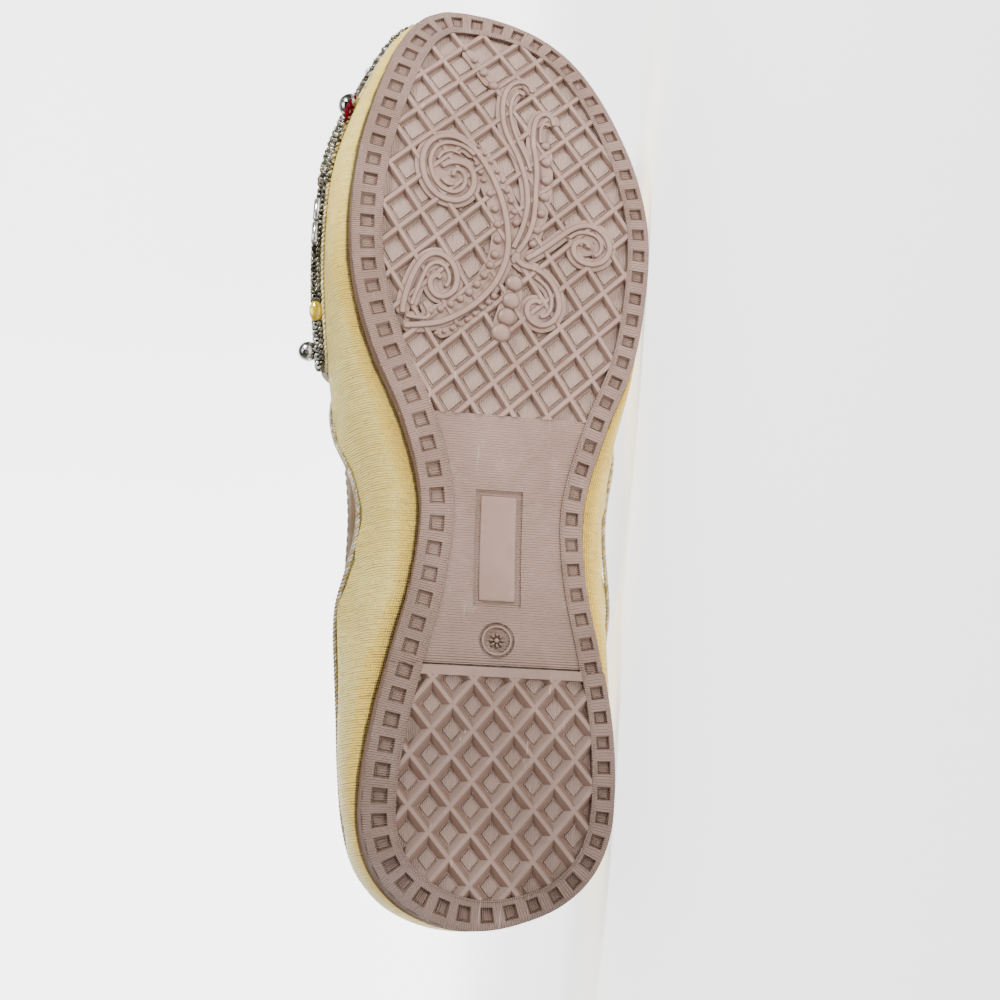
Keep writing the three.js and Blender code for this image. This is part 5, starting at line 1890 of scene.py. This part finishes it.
def floor_paper():
    """Pale paper that gives some light of its own: more beside and behind the shoe, and more close to it."""
    made = Finish("pale_floor", (0.9, 0.9, 0.89), 0.7)
    x, y, z = made.parts(made.where)
    aside = made.steer(made.reckon("ABSOLUTE", made.minus(x, 0.4)), 0.75, 1.2, 1.0, 0.0)
    low = made.steer(z, 0.75, 1.3, 1.0, 0.0)
    bright = made.times(made.times(aside, low), made.steer(y, -0.1, 1.2))
    middle = made.steer(made.reckon("ABSOLUTE", x), 0.3, 0.7, 1.0, 0.0)
    near = made.times(made.steer(y, -0.55, -0.12), middle)
    glow = made.plus(made.times(bright, 2.8), 0.8)
    made.feed("Emission Strength", made.plus(glow, made.times(near, 0.75)))
    made.set("Emission Color", (1, 1, 1, 1))
    return made.material


def room():
    def place(u, w):
        return Vector((between(-ROOM_SIDE, ROOM_SIDE, u), *sweep_rise(between(ROOM_FRONT, ROOM_BACK, w))))

    floor = sheet("floor", 2, 60, place)
    smooth(floor, 80)
    floor.data.materials.append(floor_paper())
    world = bpy.data.worlds.new("studio")
    bpy.context.scene.world = world
    world.use_nodes = True
    sky = world.node_tree.nodes["Background"].inputs
    sky["Color"].default_value = (1, 1, 1, 1)
    sky["Strength"].default_value = 0.22


def soft_light(name, place, aim, size, power):
    clear()
    bpy.ops.object.light_add(type="AREA", location=place)
    lamp = bpy.context.object
    lamp.name = name
    lamp.data.size = size
    lamp.data.energy = power
    lamp.rotation_euler = (Vector(aim) - Vector(place)).to_track_quat("-Z", "Y").to_euler()


def camera():
    """Looks at the sole along the photograph's direction, rolled with the shoe's length upright."""
    level = math.cos(CAMERA_TILT)
    toward = -Vector((math.sin(CAMERA_SWING) * level, math.sin(CAMERA_TILT), math.cos(CAMERA_SWING) * level))
    ahead = -toward
    length = (Vector((1, 0, 0)) - ahead * ahead.x).normalized()
    up = length * math.cos(CAMERA_ROLL) - ahead.cross(length) * math.sin(CAMERA_ROLL)
    turn = REST.to_3x3().normalized()
    clear()
    bpy.ops.object.camera_add()
    lens = bpy.context.object
    lens.name = "view"
    lens.data.lens = CAMERA_LENS
    lens.data.sensor_width = 36
    lens.data.clip_start = 0.01
    columns = Matrix((turn @ ahead.cross(up), turn @ up, turn @ toward)).transposed().to_4x4()
    lens.matrix_world = Matrix.Translation(REST @ (CAMERA_AIM + toward * CAMERA_DISTANCE)) @ columns
    bpy.context.scene.camera = lens


room()
for name, setting in LIGHTS.items():
    soft_light(name, *setting)
camera()

# The shoe: pieces that take the place of a solid, then what is sewn on.

pieces = {
    "outsole": (sole(), "outsole_rubber"),
    "upper": (upper(), "tissue_fabric"),
    "collar_facing": (facing(), "facing_leather"),
    "footbed": (footbed(), "lining_leather"),
    "bead_panel": (bead_panel(), "embroidered_fabric"),
}
for number, ball in enumerate(silver_balls(), 1):
    pieces[f"silver_ball_{number}"] = (ball, "silver_metal")
for node, (piece, slot) in pieces.items():
    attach(piece, "root")
    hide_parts(node)

LOWEST_BEAD = 0.0013
sewn = [(topline_braid(), "silver_metal"), (edge_cord(), "embroidered_fabric")]
sewn.append((facing_stitches(), "facing_leather"))
for name, (pattern, places, material) in sewn_beads().items():
    places = [place for place in places if (REST @ place.translation).z > LOWEST_BEAD]
    beads = stamped(name, pattern, places)
    beads.data.materials.append(material)
    lie_down(beads)
    sewn.append((beads, "embroidered_fabric" if name in ("red_threads", "yellow_stones") else "silver_metal"))
for piece, slot in sewn:
    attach(piece, "root")
